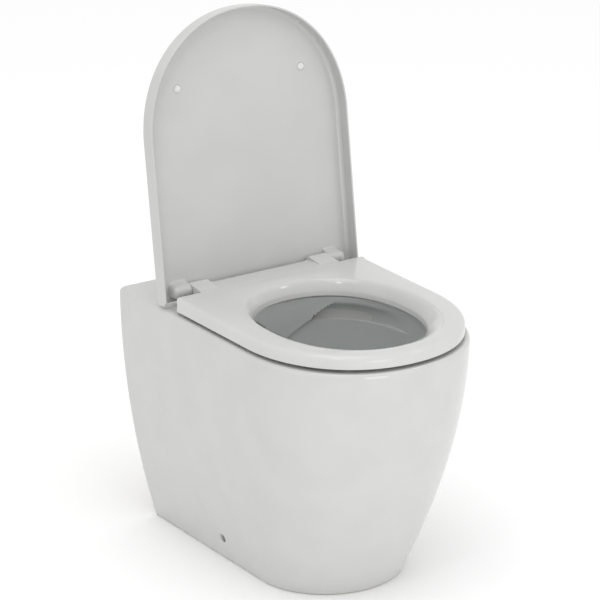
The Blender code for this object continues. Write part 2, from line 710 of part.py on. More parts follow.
# ---------------------------------------------------------------- the hinges
def build_hinge_side(side, sign, looks):
    flange_low = PAN_HEIGHT + 2 * GAP + GASKET_THICKNESS
    flange_high = flange_low + FLANGE_THICKNESS
    at = (sign * SEAT_HOLE_X, POST_Y, 0.0)

    low = PAN_HEIGHT + GAP
    high = low + GASKET_THICKNESS
    inner = HOLE_RADIUS - 0.0010
    rows = [(low, inner), (low, GASKET_RADIUS), (high, GASKET_RADIUS), (high, inner)]
    tube_ring(f"hinge_gasket_{side}", rows, at, (0, 0, 1), looks["rubber"], 20)

    groove = 0.0006
    hollow = BOLT_RADIUS + GAP
    rows = [
        (flange_low, hollow),
        (flange_low, POST_FLANGE_RADIUS),
        (flange_high, POST_FLANGE_RADIUS),
        (flange_high, POST_RADIUS),
        (0.4080, POST_RADIUS),
        (0.4085, POST_RADIUS - groove),
        (0.4105, POST_RADIUS - groove),
        (0.4110, POST_RADIUS),
        (POST_TOP - 0.0008, POST_RADIUS),
        (POST_TOP, POST_RADIUS - 0.0008),
        (POST_TOP, hollow),
    ]
    tube_ring(f"hinge_post_{side}", rows, at, (0, 0, 1), looks["steel"], 20)

    rows = [
        (BOLT_END_Z, BOLT_RADIUS - 0.0008),
        (BOLT_END_Z + 0.0008, BOLT_RADIUS),
        (POST_TOP + GAP, BOLT_RADIUS),
        (POST_TOP + GAP, BOLT_HEAD_RADIUS),
        (POST_TOP + GAP + BOLT_HEAD_HEIGHT, BOLT_HEAD_RADIUS - 0.0006),
    ]
    bolt = turned(f"seat_bolt_{side}", rows, at, (0, 0, 1), looks["steel"], 20)
    head_top = POST_TOP + GAP + BOLT_HEAD_HEIGHT
    socket = [(POST_TOP, HEX_SOCKET_RADIUS), (head_top + 0.001, HEX_SOCKET_RADIUS)]
    cut(bolt, turned(f"cut_hex_socket_{side}", socket, at, (0, 0, 1), sides=6))

    body_low = (min(sign * BODY_X[0], sign * BODY_X[1]), BODY_Y[0], flange_high + GAP)
    body_high = (max(sign * BODY_X[0], sign * BODY_X[1]), BODY_Y[1], BODY_TOP)
    body = block(f"hinge_body_{side}", body_low, body_high, looks["hinge"], bevel=0.0012)
    join(body, bore(f"add_lug_{side}", *LUG_X, LUG_RADIUS, sign))
    post_room = [(0.400, POST_RADIUS + GAP), (head_top + 2 * GAP, POST_RADIUS + GAP)]
    cut(body, turned(f"cut_post_room_{side}", post_room, at, (0, 0, 1), sides=20))
    cut(body, bore(f"cut_lug_bore_{side}", PIN_X[0] - GAP, LUG_BORE_END, PIN_RADIUS + GAP, sign))
    wide, deep, tall = BUTTON_SIZE
    button_front = BODY_Y[0] - BUTTON_PROUD
    middle = sign * BUTTON_X
    slot_low = (middle - wide / 2 - GAP, BODY_Y[0] - 0.002, BUTTON_Z - tall / 2 - GAP)
    slot_high = (
        middle + wide / 2 + GAP,
        button_front + deep + BUTTON_PROUD,
        BUTTON_Z + tall / 2 + GAP,
    )
    cut(body, block(f"cut_button_slot_{side}", slot_low, slot_high))
    button_low = (middle - wide / 2, button_front, BUTTON_Z - tall / 2)
    button_high = (middle + wide / 2, button_front + deep, BUTTON_Z + tall / 2)
    block(f"release_button_{side}", button_low, button_high, looks["button"], bevel=0.0008)

    pin = [(0.0, PIN_RADIUS), (PIN_X[1] - PIN_X[0], PIN_RADIUS)]
    pin_at = (sign * PIN_X[0], AXIS_Y, AXIS_Z)
    turned(f"hinge_pin_{side}", pin, pin_at, (sign, 0, 0), looks["steel"], 20)


def build_cartridges(looks):
    """A soft-close damper in one knuckle of each moving part, and a plain bush in the other."""
    seat_room = (SEAT_KNUCKLE_X[0] + GAP, SEAT_CARTRIDGE_END - GAP)
    lid_room = (LID_KNUCKLE_X[0] + GAP, LID_CARTRIDGE_END - GAP)
    rooms = (
        ("seat_damper", "damper", *seat_room, DAMPER_RADIUS, -1),
        ("seat_bush", "bush", *seat_room, BUSH_RADIUS, 1),
        ("lid_bush", "bush", *lid_room, BUSH_RADIUS, -1),
        ("lid_damper", "damper", *lid_room, DAMPER_RADIUS, 1),
    )
    hollow = PIN_RADIUS + GAP
    for name, look, start, end, radius, sign in rooms:
        rows = [(0.0, hollow), (0.0, radius), (end - start, radius), (end - start, hollow)]
        tube_ring(name, rows, (sign * start, AXIS_Y, AXIS_Z), (sign, 0, 0), looks[look], 20)


def build_under_deck(side, sign, looks):
    """Rubber cone, washer and wing nut, in that order below the deck."""
    at = (sign * SEAT_HOLE_X, POST_Y, 0.0)
    deck = PAN_HEIGHT - DECK_THICKNESS
    hollow = BOLT_RADIUS + GAP
    cone_high = deck - GAP
    cone_low = cone_high - CONE_HEIGHT
    rows = [
        (cone_low, hollow),
        (cone_low, CONE_RADIUS),
        (cone_high - 0.004, CONE_RADIUS),
        (cone_high, CONE_RADIUS - 0.0015),
        (cone_high, hollow),
    ]
    tube_ring(f"rubber_cone_{side}", rows, at, (0, 0, 1), looks["rubber"], 20)
    washer_high = cone_low - GAP
    washer_low = washer_high - WASHER_THICKNESS
    rows = [
        (washer_low, hollow),
        (washer_low, WASHER_RADIUS),
        (washer_high, WASHER_RADIUS),
        (washer_high, hollow),
    ]
    tube_ring(f"fixing_washer_{side}", rows, at, (0, 0, 1), looks["steel"], 20)
    nut_high = washer_low - GAP
    nut_low = nut_high - NUT_HEIGHT
    rows = [(nut_low, NUT_RADIUS - 0.001), (nut_high - 0.002, NUT_RADIUS), (nut_high, NUT_RADIUS)]
    nut = turned(f"wing_nut_{side}", rows, at, (0, 0, 1), looks["nylon"], 20)
    x = sign * SEAT_HOLE_X
    wing_low = (x - WING_SPAN / 2, POST_Y - 0.0016, nut_low - 0.004)
    wing_high = (x + WING_SPAN / 2, POST_Y + 0.0016, nut_high - 0.003)
    join(nut, block(f"add_wings_{side}", wing_low, wing_high, bevel=0.0010))
    thread = [(nut_low - 0.010, hollow), (nut_high + 0.010, hollow)]
    cut(nut, turned(f"cut_thread_{side}", thread, at, (0, 0, 1), sides=20))


# ---------------------------------------------------------------- floor fixing
def build_floor_fixing(side, sign, looks):
    x_low, x_high = sorted((sign * BRACKET_X[0], sign * BRACKET_X[1]))
    plate_low = (x_low, BRACKET_Y[0], 0.0)
    plate_high = (x_high, BRACKET_Y[1], BRACKET_PLATE)
    bracket = block(f"floor_bracket_{side}", plate_low, plate_high, looks["nylon"], bevel=0.001)
    web_outer = sign * BRACKET_X[1]
    web_inner = sign * (BRACKET_X[1] - 0.008)
    web_x = sorted((web_outer, web_inner))
    web_low = (web_x[0], BRACKET_Y[0], 0.001)
    web_high = (web_x[1], BRACKET_Y[1], BRACKET_HEIGHT)
    join(bracket, block(f"add_bracket_web_{side}", web_low, web_high, bevel=0.001))

    boss = [(0.0, BOSS_RADIUS), (BOSS_END_X - BRACKET_X[1] + 0.004, BOSS_RADIUS)]
    at = (sign * (BRACKET_X[1] - 0.004), SIDE_HOLE_Y, SIDE_HOLE_Z)
    join(bracket, turned(f"add_bracket_boss_{side}", boss, at, (sign, 0, 0), sides=20))

    shank = SCREW_SHANK
    hole = [(0.0, shank + GAP), (0.040, shank + GAP)]
    at = (sign * (BRACKET_X[1] - 0.012), SIDE_HOLE_Y, SIDE_HOLE_Z)
    cut(bracket, turned(f"cut_side_thread_{side}", hole, at, (sign, 0, 0), sides=20))
    hole = [(-0.002, shank + GAP), (BRACKET_PLATE + 0.002, shank + GAP)]
    at = (sign * FLOOR_SCREW_X, SIDE_HOLE_Y, 0.0)
    cut(bracket, turned(f"cut_floor_hole_{side}", hole, at, (0, 0, 1), sides=20))

    rows = [
        (0.0005, shank),
        (BRACKET_PLATE + GAP, shank),
        (BRACKET_PLATE + GAP, 0.0055),
        (BRACKET_PLATE + GAP + 0.0022, 0.0042),
        (BRACKET_PLATE + GAP + 0.0030, 0.0020),
    ]
    turned(f"floor_screw_{side}", rows, at, (0, 0, 1), looks["steel"], 20)

    head_from = BOSS_END_X + GAP
    rows = [
        (BRACKET_X[1] - 0.014, shank),
        (head_from, shank),
        (head_from, 0.0058),
        (head_from + 0.0030, 0.0058),
        (head_from + 0.0042, 0.0046),
    ]
    at = (0.0, SIDE_HOLE_Y, SIDE_HOLE_Z)
    turned(f"side_screw_{side}", rows, at, (sign, 0, 0), looks["steel"], 20)


def build_inlet_seal(rubber):
    outer = INLET_SOCKET - GAP
    rows = [
        (0.001, outer - 0.0060),
        (0.001, outer),
        (SEAL_LENGTH, outer),
        (SEAL_LENGTH, outer - 0.0050),
        (SEAL_LENGTH - 0.006, outer - 0.0060),
    ]
    at = (0, INLET_END_Y, INLET_HEIGHT)
    tube_ring("flush_inlet_seal", rows, at, (0, -1, 0), rubber, 32)


# ---------------------------------------------------------------- the whole object
def main():
    remove_everything()
    looks = {
        "china": material("vitreous_china", (0.80, 0.80, 0.79), 0.08),
        "thermoset": material("thermoset_white", (0.80, 0.80, 0.79), 0.16),
        "rubber": material("rubber_grey", (0.45, 0.46, 0.46), 0.60),
        "steel": material("stainless_steel", (0.62, 0.61, 0.60), 0.28, 1.0),
        "hinge": material("hinge_plastic", (0.72, 0.72, 0.72), 0.35),
        "button": material("button_plastic", (0.50, 0.52, 0.54), 0.35),
        "damper": material("damper_plastic", (0.10, 0.10, 0.11), 0.40),
        "bush": material("bush_plastic", (0.75, 0.75, 0.72), 0.40),
        "nylon": material("fixing_nylon", (0.70, 0.70, 0.68), 0.50),
    }
    build_pan(looks["china"])
    build_inlet_seal(looks["rubber"])
    build_seat(looks["thermoset"])
    build_seat_buffers(looks["rubber"])
    build_lid(looks["thermoset"])
    build_lid_buffers(looks["rubber"])
    build_cartridges(looks)
    for side, sign in SIDES:
        build_hinge_side(side, sign, looks)
        build_under_deck(side, sign, looks)
        build_floor_fixing(side, sign, looks)


main()
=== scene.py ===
# %% [markdown]
# # A back-to-wall toilet with its seat and lid
#
# The object is a floor-standing china pan that hides its pipes behind a full skirt, with a
# moulded seat and lid on lift-off hinges. The frame below holds every part at its true size.
# This lesson keeps the parts where they are and gives them their real surfaces.

# %% Load the frame
import math

import bmesh
import bpy
import numpy as np
from mathutils import Matrix, Vector


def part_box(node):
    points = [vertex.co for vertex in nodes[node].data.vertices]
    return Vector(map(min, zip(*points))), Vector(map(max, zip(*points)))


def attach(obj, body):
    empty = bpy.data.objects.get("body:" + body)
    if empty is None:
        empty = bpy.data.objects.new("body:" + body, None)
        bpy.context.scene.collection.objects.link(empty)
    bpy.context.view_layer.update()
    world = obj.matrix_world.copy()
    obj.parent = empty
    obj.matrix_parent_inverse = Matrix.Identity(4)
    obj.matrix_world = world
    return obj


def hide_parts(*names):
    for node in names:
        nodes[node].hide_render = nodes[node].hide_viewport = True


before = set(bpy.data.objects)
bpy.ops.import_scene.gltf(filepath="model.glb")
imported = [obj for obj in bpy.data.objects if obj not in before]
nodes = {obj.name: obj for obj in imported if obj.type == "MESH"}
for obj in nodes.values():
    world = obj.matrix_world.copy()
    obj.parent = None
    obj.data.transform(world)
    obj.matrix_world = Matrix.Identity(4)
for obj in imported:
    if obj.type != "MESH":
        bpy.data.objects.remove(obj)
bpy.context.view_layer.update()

# %% [markdown]
# ## Camera
#
# A product picture like this is taken with a long lens from the front left, a little above
# the seat, so that upright edges stay almost parallel. A camera can be placed by hand or worked
# out from a distance and two angles; the second keeps the view tied to the object.

# %% Place the camera
CAMERA_AZIMUTH = math.radians(-34.18)
CAMERA_ELEVATION = math.radians(19.86)
CAMERA_DISTANCE = 4.944
CAMERA_LENS_MM = 195.9
camera_target = Vector((-0.0225, 0.0025, 0.4263))

towards_camera = Vector(
    (
        math.sin(CAMERA_AZIMUTH) * math.cos(CAMERA_ELEVATION),
        -math.cos(CAMERA_AZIMUTH) * math.cos(CAMERA_ELEVATION),
        math.sin(CAMERA_ELEVATION),
    )
)
camera_data = bpy.data.cameras.new("camera")
camera_data.lens = CAMERA_LENS_MM
camera_data.sensor_width = 36.0
camera = bpy.data.objects.new("camera", camera_data)
bpy.context.scene.collection.objects.link(camera)
camera.location = camera_target + towards_camera * CAMERA_DISTANCE
camera.rotation_euler = (-towards_camera).to_track_quat("-Z", "Y").to_euler()
bpy.context.scene.camera = camera
print("camera at", [round(v, 3) for v in camera.location])

# %% [markdown]
# ## Floor and studio light
#
# White sanitaryware is lit with very large soft sources, because a small lamp would show as a
# hard spot in the glaze. A pale floor and an even sky do most of the work here. One big panel
# overhead lifts the seat, and a low one in front lifts the front of the pan above its side. Two
# small ones put a soft glint on the rolled edges of the seat.

# %% Floor, sky and lamps
FLOOR_SIZE = 30.0
FLOOR_DROP = 0.0002  # just under the foot, so that the two faces don't share a plane
half_floor = FLOOR_SIZE / 2
signs = ((-1, -1), (1, -1), (1, 1), (-1, 1))
floor_corners = [(x * half_floor, y * half_floor, -FLOOR_DROP) for x, y in signs]
floor_mesh = bpy.data.meshes.new("floor")
floor_mesh.from_pydata(floor_corners, [], [(0, 1, 2, 3)])
floor = bpy.data.objects.new("floor", floor_mesh)
bpy.context.scene.collection.objects.link(floor)

sky = bpy.data.worlds.new("studio")
bpy.context.scene.world = sky
sky.use_nodes = True
sky.node_tree.nodes["Background"].inputs["Color"].default_value = (1.0, 1.0, 1.0, 1.0)
sky.node_tree.nodes["Background"].inputs["Strength"].default_value = 0.96


def soft_panel(name, position, size, power, aim=(0.0, 0.0, 0.35)):
    """A square area lamp that faces a point."""
    lamp = bpy.data.lights.new(name, "AREA")
    lamp.energy = power
    lamp.size = size
    placed = bpy.data.objects.new(name, lamp)
    placed.location = position
    facing = Vector(aim) - Vector(position)
    placed.rotation_euler = facing.to_track_quat("-Z", "Y").to_euler()
    bpy.context.scene.collection.objects.link(placed)
    return placed


soft_panel("panel_low_front", (-0.2, -1.9, 0.22), 0.7, 5.0, aim=(0.0, 0.0, 0.12))
soft_panel("panel_above", (-0.6, -0.4, 3.4), 2.0, 18.0)
soft_panel("small_left", (-1.5, -1.3, 3.0), 0.35, 3.0)
soft_panel("small_right", (1.9, -1.9, 2.6), 0.30, 2.5)
bpy.context.scene.view_settings.view_transform = "Standard"
print("floor and four panels placed")

# %% [markdown]
# ## Materials
#
# Every finish here starts from what the real one is. Colours are written as the sRGB hex values
# a paint chart gives, and one function turns them into the linear numbers that Blender works in.
# One more small function adds a node, sets its inputs and links it, so that each material below
# reads as a short list of what happens to the surface.

# %% Colour and node helpers
MM = 0.001


def srgb(code):
    """A hex colour such as F2F2F0 as linear red, green, blue and alpha."""
    channels = [int(code[i : i + 2], 16) / 255 for i in (0, 2, 4)]
    linear = [c / 12.92 if c <= 0.04045 else ((c + 0.055) / 1.055) ** 2.4 for c in channels]
    return (*linear, 1.0)


def add_node(tree, kind, settings=None, values=None, links=None):
    """Add a node, set its properties and input values, and link sockets into its inputs."""
    made = tree.nodes.new(kind)
    for key, value in (settings or {}).items():
        setattr(made, key, value)
    for key, value in (values or {}).items():
        made.inputs[key].default_value = value
    for key, socket in (links or {}).items():
        tree.links.new(socket, made.inputs[key])
    return made


def new_material(name, **values):
    """A node material with its Principled shader's own sockets set."""
    made = bpy.data.materials.new(name)
    made.use_nodes = True
    shader = made.node_tree.nodes["Principled BSDF"]
    for key, value in values.items():
        shader.inputs[key.replace("_", " ")].default_value = value
    return made, made.node_tree, shader


def millimetre_noise(tree, wavelength_mm, detail=2.0):
    """Noise in object space whose features are about this many millimetres across."""
    place = add_node(tree, "ShaderNodeTexCoord")
    return add_node(
        tree,
        "ShaderNodeTexNoise",
        values={"Scale": 1 / (wavelength_mm * MM), "Detail": detail, "Roughness": 0.5},
        links={"Vector": place.outputs["Object"]},
    )


def tinted(tree, shader, noise, dark, light):
    """Drift the base colour between two close tints."""
    ramp = add_node(tree, "ShaderNodeValToRGB", links={"Fac": noise.outputs["Fac"]})
    ramp.color_ramp.elements[0].position = 0.35
    ramp.color_ramp.elements[0].color = srgb(dark)
    ramp.color_ramp.elements[1].position = 0.65
    ramp.color_ramp.elements[1].color = srgb(light)
    tree.links.new(ramp.outputs["Color"], shader.inputs["Base Color"])


def varied_roughness(tree, shader, noise, low, high):
    """Let the gloss drift between two values."""
    span = add_node(
        tree,
        "ShaderNodeMapRange",
        values={"From Min": 0.3, "From Max": 0.7, "To Min": low, "To Max": high},
        links={"Value": noise.outputs["Fac"]},
    )
    tree.links.new(span.outputs["Result"], shader.inputs["Roughness"])


def bumped(tree, shader, noise, height_mm, strength=1.0, below=None):
    """Raise the surface by the noise, on top of an earlier bump if there is one."""
    bump = add_node(
        tree,
        "ShaderNodeBump",
        values={"Strength": strength, "Distance": height_mm * MM},
        links={"Height": noise.outputs["Fac"]},
    )
    if below:
        tree.links.new(below.outputs["Normal"], bump.inputs["Normal"])
    tree.links.new(bump.outputs["Normal"], shader.inputs["Normal"])
    return bump


print("middle grey in linear:", round(srgb("808080")[0], 3))

# %% [markdown]
# ### Vitreous china with a gloss glaze
#
# The pan is slip-cast clay, sprayed with an opaque white glaze and fired at about 1200 degrees.
# The glaze melts into a glassy skin: very smooth, with a faint long wave left by the spray and
# a tint that drifts a little with its thickness. The IOR of such a glaze is near 1.5.

# %% China glaze, and the bare clay where no glaze goes
def fired_glaze(name, thin_place, thick_place):
    """A gloss glaze: a faint wave in its height and gloss, and a slow drift of tint."""
    made, tree, shader = new_material(name, Roughness=0.07, IOR=1.52)
    spray_wave = millimetre_noise(tree, 22.0, 1.0)
    tinted(tree, shader, millimetre_noise(tree, 60.0), thin_place, thick_place)
    varied_roughness(tree, shader, spray_wave, 0.06, 0.10)
    bumped(tree, shader, spray_wave, 0.02)
    return made


china_glaze = fired_glaze("vitreous_china_glaze", "C5C5C3", "C8C8C6")
# The bowl's faces get a copy of the glaze a shade greyer: painted shade that stands for the dimmer
# light inside the bowl.
bowl_painted_shade_glaze = fired_glaze("vitreous_china_bowl_glaze", "B9BBBA", "BCBEBD")

bare_clay, tree, shader = new_material("unglazed_vitreous_body", Roughness=0.75, IOR=1.5)
clay_grain = millimetre_noise(tree, 1.2, 4.0)
tinted(tree, shader, millimetre_noise(tree, 9.0, 3.0), "CFC8BC", "DCD6CB")
bumped(tree, shader, clay_grain, 0.08)
print("glazes: 2, clay: 1")

# %% [markdown]
# ### Thermoset seat plastic
#
# Seat and lid are pressed from urea resin in a polished steel mould at about 150 degrees. The
# result is hard, dense and evenly white all through, a touch less glassy than the glaze, with
# a very slight orange peel where the resin flowed.

# %% Urea thermoset
def pressed_urea(name, dark, light, low_gloss, high_gloss):
    """Pressed urea: nearly even in colour, with the orange peel of the resin's flow."""
    made, tree, shader = new_material(name, Roughness=0.2, IOR=1.53)
    flow = millimetre_noise(tree, 14.0, 1.5)
    tinted(tree, shader, millimetre_noise(tree, 80.0), dark, light)
    varied_roughness(tree, shader, flow, low_gloss, high_gloss)
    bumped(tree, shader, flow, 0.012)
    return made


urea_white = pressed_urea("urea_thermoset_white", "C7C7C6", "CACAC9", 0.10, 0.14)
# The lid comes from a mould that is polished less than the seat's, so it is less glossy; its tint is
# a shade greyer as painted shade, for the dimmer light on the lid's inner face.
urea_lid_painted_shade = pressed_urea("urea_thermoset_lid_painted_shade", "C0C0BF", "C3C3C2", 0.16, 0.22)
print("urea pressings: 2")

# %% [markdown]
# ### Rubber, nylon, acetal and steel
#
# The buffers and gaskets are moulded rubber: soft, matt and finely textured. The hinge bodies
# are glass-filled nylon with a sparked mould texture, the cartridges are acetal, and the
# fixings are turned stainless steel, whose tool marks run round the axis as fine rings.

# %% The small parts' materials
def moulded(name, roughness, ior, tints, tint_mm, grain_mm, detail, height_mm, gloss=None):
    """Moulded rubber or plastic: a drift of tint, and the fine grain that its mould left."""
    made, tree, shader = new_material(name, Roughness=roughness, IOR=ior)
    grain = millimetre_noise(tree, grain_mm, detail)
    tinted(tree, shader, millimetre_noise(tree, tint_mm), *tints)
    if gloss:
        varied_roughness(tree, shader, grain, *gloss)
    bumped(tree, shader, grain, height_mm)
    return made


grey, black = ("D6D7D5", "DEDFDD"), ("2A2B2C", "343536")
rubber_grey = moulded("moulded_tpe_rubber", 0.55, 1.5, grey, 6.0, 0.8, 3.0, 0.03)
rubber_dark = moulded("moulded_epdm_rubber", 0.6, 1.5, black, 6.0, 0.8, 3.0, 0.04)

sparked = ("D3D4D4", "DBDCDC")
filled_nylon = moulded(
    "glass_filled_nylon", 0.42, 1.53, sparked, 8.0, 0.7, 2.0, 0.02, gloss=(0.38, 0.50)
)
slate = ("8E9499", "989EA3")
button_nylon = moulded("button_grey_nylon", 0.4, 1.53, slate, 8.0, 0.7, 2.0, 0.02)
ivory = ("DEDCD2", "E6E4DB")
natural_nylon = moulded("natural_nylon", 0.45, 1.53, ivory, 10.0, 1.0, 2.0, 0.02)

carbon, milk = ("1C1D1F", "232426"), ("E2E1DA", "E9E8E2")
black_acetal = moulded("black_acetal", 0.33, 1.48, carbon, 3.0, 3.0, 2.0, 0.01)
natural_acetal = moulded("natural_acetal", 0.36, 1.48, milk, 3.0, 3.0, 2.0, 0.01)


BAND_SPACING = 0.314  # how far apart a wave texture's bands are at a scale of 1


def turned_steel(name, axis, spacing_mm=0.70):
    """Stainless steel with rings across one axis, where the lathe tool passed.

    Real tool marks are about 0.1 mm apart; they are drawn coarser so that they show at all.
    """
    made, tree, shader = new_material(name, Roughness=0.26, Metallic=1.0)
    place = add_node(tree, "ShaderNodeTexCoord")
    rings = add_node(
        tree,
        "ShaderNodeTexWave",
        settings={"bands_direction": axis},
        values={"Scale": BAND_SPACING / (spacing_mm * MM), "Distortion": 0.4, "Detail": 2.0},
        links={"Vector": place.outputs["Object"]},
    )
    tinted(tree, shader, millimetre_noise(tree, 4.0), "C4C2BE", "D0CECA")
    bumped(tree, shader, rings, 0.006)
    return made


steel_upright = turned_steel("turned_stainless_upright", "Z")
steel_across = turned_steel("turned_stainless_across", "X")

floor_paint, tree, shader = new_material("pale_floor", Roughness=0.9)
shader.inputs["Base Color"].default_value = srgb("FDFDFD")
shader.inputs["Specular IOR Level"].default_value = 0.0
floor_mesh.materials.append(floor_paint)
print("materials:", len(bpy.data.materials))

# %% [markdown]
# ### Which part gets which finish
#
# A short list names the finish of each kind of part. Left, right and numbered copies share
# their kind's finish, so the list is read by the start of the part's name.


# %% Finishes for the frame's own parts
FINISHES = {
    "pan": china_glaze,
    "seat": urea_white,
    # The lid's urea is tinted greyer as painted shade.
    "lid": urea_lid_painted_shade,
    "seat_buffer": rubber_grey,
    "lid_buffer": rubber_grey,
    "flush_inlet_seal": rubber_dark,
    "hinge_gasket": rubber_dark,
    "rubber_cone": rubber_dark,
    "hinge_body": filled_nylon,
    "release_button": button_nylon,
    "seat_damper": black_acetal,
    "lid_damper": black_acetal,
    "seat_bush": natural_acetal,
    "lid_bush": natural_acetal,
    "floor_bracket": natural_nylon,
    "wing_nut": natural_nylon,
    "hinge_post": steel_upright,
    "seat_bolt": steel_upright,
    "fixing_washer": steel_upright,
    "floor_screw": steel_upright,
    "side_screw": steel_across,
    "hinge_pin": steel_across,
}


def finish_of(node_name):
    """The longest name in the list that starts the node's name."""
    fits = [key for key in FINISHES if node_name == key or node_name.startswith(key + "_")]
    return FINISHES[max(fits, key=len)]


for node_name, node_object in nodes.items():
    node_object.data.materials.clear()
    node_object.data.materials.append(finish_of(node_name))
print("finished the frame's parts:", len(nodes))

# %% [markdown]
# ## Skinning a shape from its sections
#
# The pan, the seat and the lid are all smooth shapes that are known by their sections: the plan
# at each height, or the profile at each place round the ring. One way is to push a cage of a few
# faces into shape and subdivide it; another is to lay many exact sections and skin them. Ware
# this smooth shows every wobble of a cage in its reflections, so the sections are used.


# %% Sections and skins
def lerp(low, high, share):
    return low + (high - low) * share


def smoothstep(value):
    held = np.clip(value, 0.0, 1.0)
    return held * held * (3 - 2 * held)


def make_object(name, vertices, faces, material=None):
    """A smooth-shaded object from plain lists."""
    mesh = bpy.data.meshes.new(name)
    mesh.from_pydata([tuple(v) for v in vertices], [], [tuple(f) for f in faces])
    made = bpy.data.objects.new(name, mesh)
    bpy.context.scene.collection.objects.link(made)
    if material:
        mesh.materials.append(material)
    turn_outward(mesh)
    mesh.shade_smooth()
    return made


def turn_outward(mesh):
    """Make every face of a closed mesh point away from its inside."""
    bm = bmesh.new()
    bm.from_mesh(mesh)
    bmesh.ops.recalc_face_normals(bm, faces=bm.faces)
    bm.to_mesh(mesh)
    bm.free()


def skin(name, sections, material=None, ring=False):
    """Join equal sections with quads; a ring closes on itself, anything else gets end caps."""
    stack = np.asarray(sections, float)
    count, around = stack.shape[:2]
    index = np.arange(count * around).reshape(count, around)
    low = index if ring else index[:-1]
    high = np.roll(index, -1, axis=0) if ring else index[1:]
    quads = np.stack(
        [low, np.roll(low, -1, axis=1), np.roll(high, -1, axis=1), high], axis=-1
    ).reshape(-1, 4)
    faces = quads.tolist()
    if not ring:
        faces += [index[0].tolist(), index[-1].tolist()]
    return make_object(name, stack.reshape(-1, 3), faces, material)


def turned(name, profile, centre, axis, material=None, sides=64):
    """Turn (distance along, radius) rows about an axis, as a lathe would."""
    turn = Vector((0, 0, 1)).rotation_difference(Vector(axis)).to_matrix()
    angles = np.linspace(0, 2 * np.pi, sides, endpoint=False)
    rows = [
        [Vector(centre) + turn @ Vector((r * np.cos(a), r * np.sin(a), along)) for a in angles]
        for along, r in profile
    ]
    return skin(name, rows, material)


def turned_ring(name, profile, centre, axis, material=None, sides=64):
    """Turn a closed profile that stays off the axis, which leaves a hole through the middle."""
    turn = Vector((0, 0, 1)).rotation_difference(Vector(axis)).to_matrix()
    angles = np.linspace(0, 2 * np.pi, sides, endpoint=False)
    rows = []
    for a in angles:
        points = [Vector((r * np.cos(a), r * np.sin(a), along)) for along, r in profile]
        rows.append([Vector(centre) + turn @ point for point in points])
    return skin(name, rows, material, ring=True)


def block(name, low, high, material=None, bevel=0.0, segments=3):
    """A box between two corners, with rounded edges."""
    bm = bmesh.new()
    size = [b - a for a, b in zip(low, high)]
    middle = [(a + b) / 2 for a, b in zip(low, high)]
    bmesh.ops.create_cube(bm, size=1.0, matrix=Matrix.LocRotScale(middle, None, size))
    if bevel:
        bmesh.ops.bevel(
            bm, geom=bm.edges[:], offset=bevel, segments=segments, profile=0.5, affect="EDGES"
        )
    mesh = bpy.data.meshes.new(name)
    bm.to_mesh(mesh)
    bm.free()
    made = bpy.data.objects.new(name, mesh)
    bpy.context.scene.collection.objects.link(made)
    if material:
        mesh.materials.append(material)
    return made


def combine(target, operation, *tools):
    """Boolean each tool into the target in turn, then delete the tools."""
    for tool in tools:
        step = target.modifiers.new("combine", "BOOLEAN")
        step.operation = operation
        step.object = tool
        step.material_mode = "TRANSFER"
        bpy.context.view_layer.update()
        seen = target.evaluated_get(bpy.context.evaluated_depsgraph_get())
        result = bpy.data.meshes.new_from_object(seen)
        target.modifiers.remove(step)
        target.data = result
        bpy.data.objects.remove(tool, do_unlink=True)
    return target


def cut(target, *tools):
    return combine(target, "DIFFERENCE", *tools)


def join(target, *tools):
    return combine(target, "UNION", *tools)


def crisp(piece, degrees=32.0):
    """Smooth shading that breaks at sharp edges and lets the flat faces stay flat."""
    bm = bmesh.new()
    bm.from_mesh(piece.data)
    limit = math.radians(degrees)
    for face in bm.faces:
        face.smooth = True
    for edge in bm.edges:
        edge.smooth = len(edge.link_faces) == 2 and edge.calc_face_angle(0.0) < limit
    bm.to_mesh(piece.data)
    bm.free()
    weighting = piece.modifiers.new("weighted normals", "WEIGHTED_NORMAL")
    weighting.keep_sharp = True
    return piece


def stands_for(piece, body, slot, *node_names):
    """Ride on the body and hide the frame's plain nodes; the slot is not used."""
    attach(piece, body)
    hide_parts(*node_names)
    piece.data.name = piece.name
    return piece


def d_outline(half_width, length, bow, power, corner=0.0, inset=0.0, steps=(40, 5, 30, 120)):
    """A D in plan as rows of (across, forward from the back edge), denser than it looks.

    The steps are along the back edge, round each back corner, along each side and round the
    front. The inset shrinks the sides and the front only.
    """
    wide = half_width - inset
    long = length - inset
    front = bow - inset
    back_steps, corner_steps, side_steps, arc_steps = steps
    across = np.linspace(0, wide - corner, back_steps // 2, endpoint=False)
    half = [np.stack([across, np.zeros_like(across)], 1)]
    if corner:
        a = np.linspace(0, np.pi / 2, corner_steps, endpoint=False)
        half.append(
            np.stack([wide - corner + corner * np.sin(a), corner - corner * np.cos(a)], 1)
        )
    along = np.linspace(corner, long - front, side_steps, endpoint=False)
    half.append(np.stack([np.full_like(along, wide), along], 1))
    a = np.linspace(0, np.pi / 2, arc_steps // 2 + 1)
    half.append(
        np.stack(
            [
                wide * np.cos(a) ** (2 / power),
                long - front + front * np.sin(a) ** (2 / power),
            ],
            1,
        )
    )
    right = np.concatenate(half)
    right[-1, 0] = 0.0
    left = right[-2:0:-1] * (-1, 1)
    return np.concatenate([right, left])


print("a D outline has", len(d_outline(0.18, 0.545, 0.189, 2.1, 0.004)), "points")

# %% [markdown]
# ## The pan
#
# Outside, the plan is a D that shrinks from the rim to the foot; its sides bow inwards faster
# the lower they go. The rim rolls over in an 8 mm radius to a flat deck. Inside, the bowl has a
# nearly upright wall, then a quarter-sine slope to the sump. All of it is one skin: up the
# outside, over the rim, across the deck and down into the bowl, because the glaze is one skin.

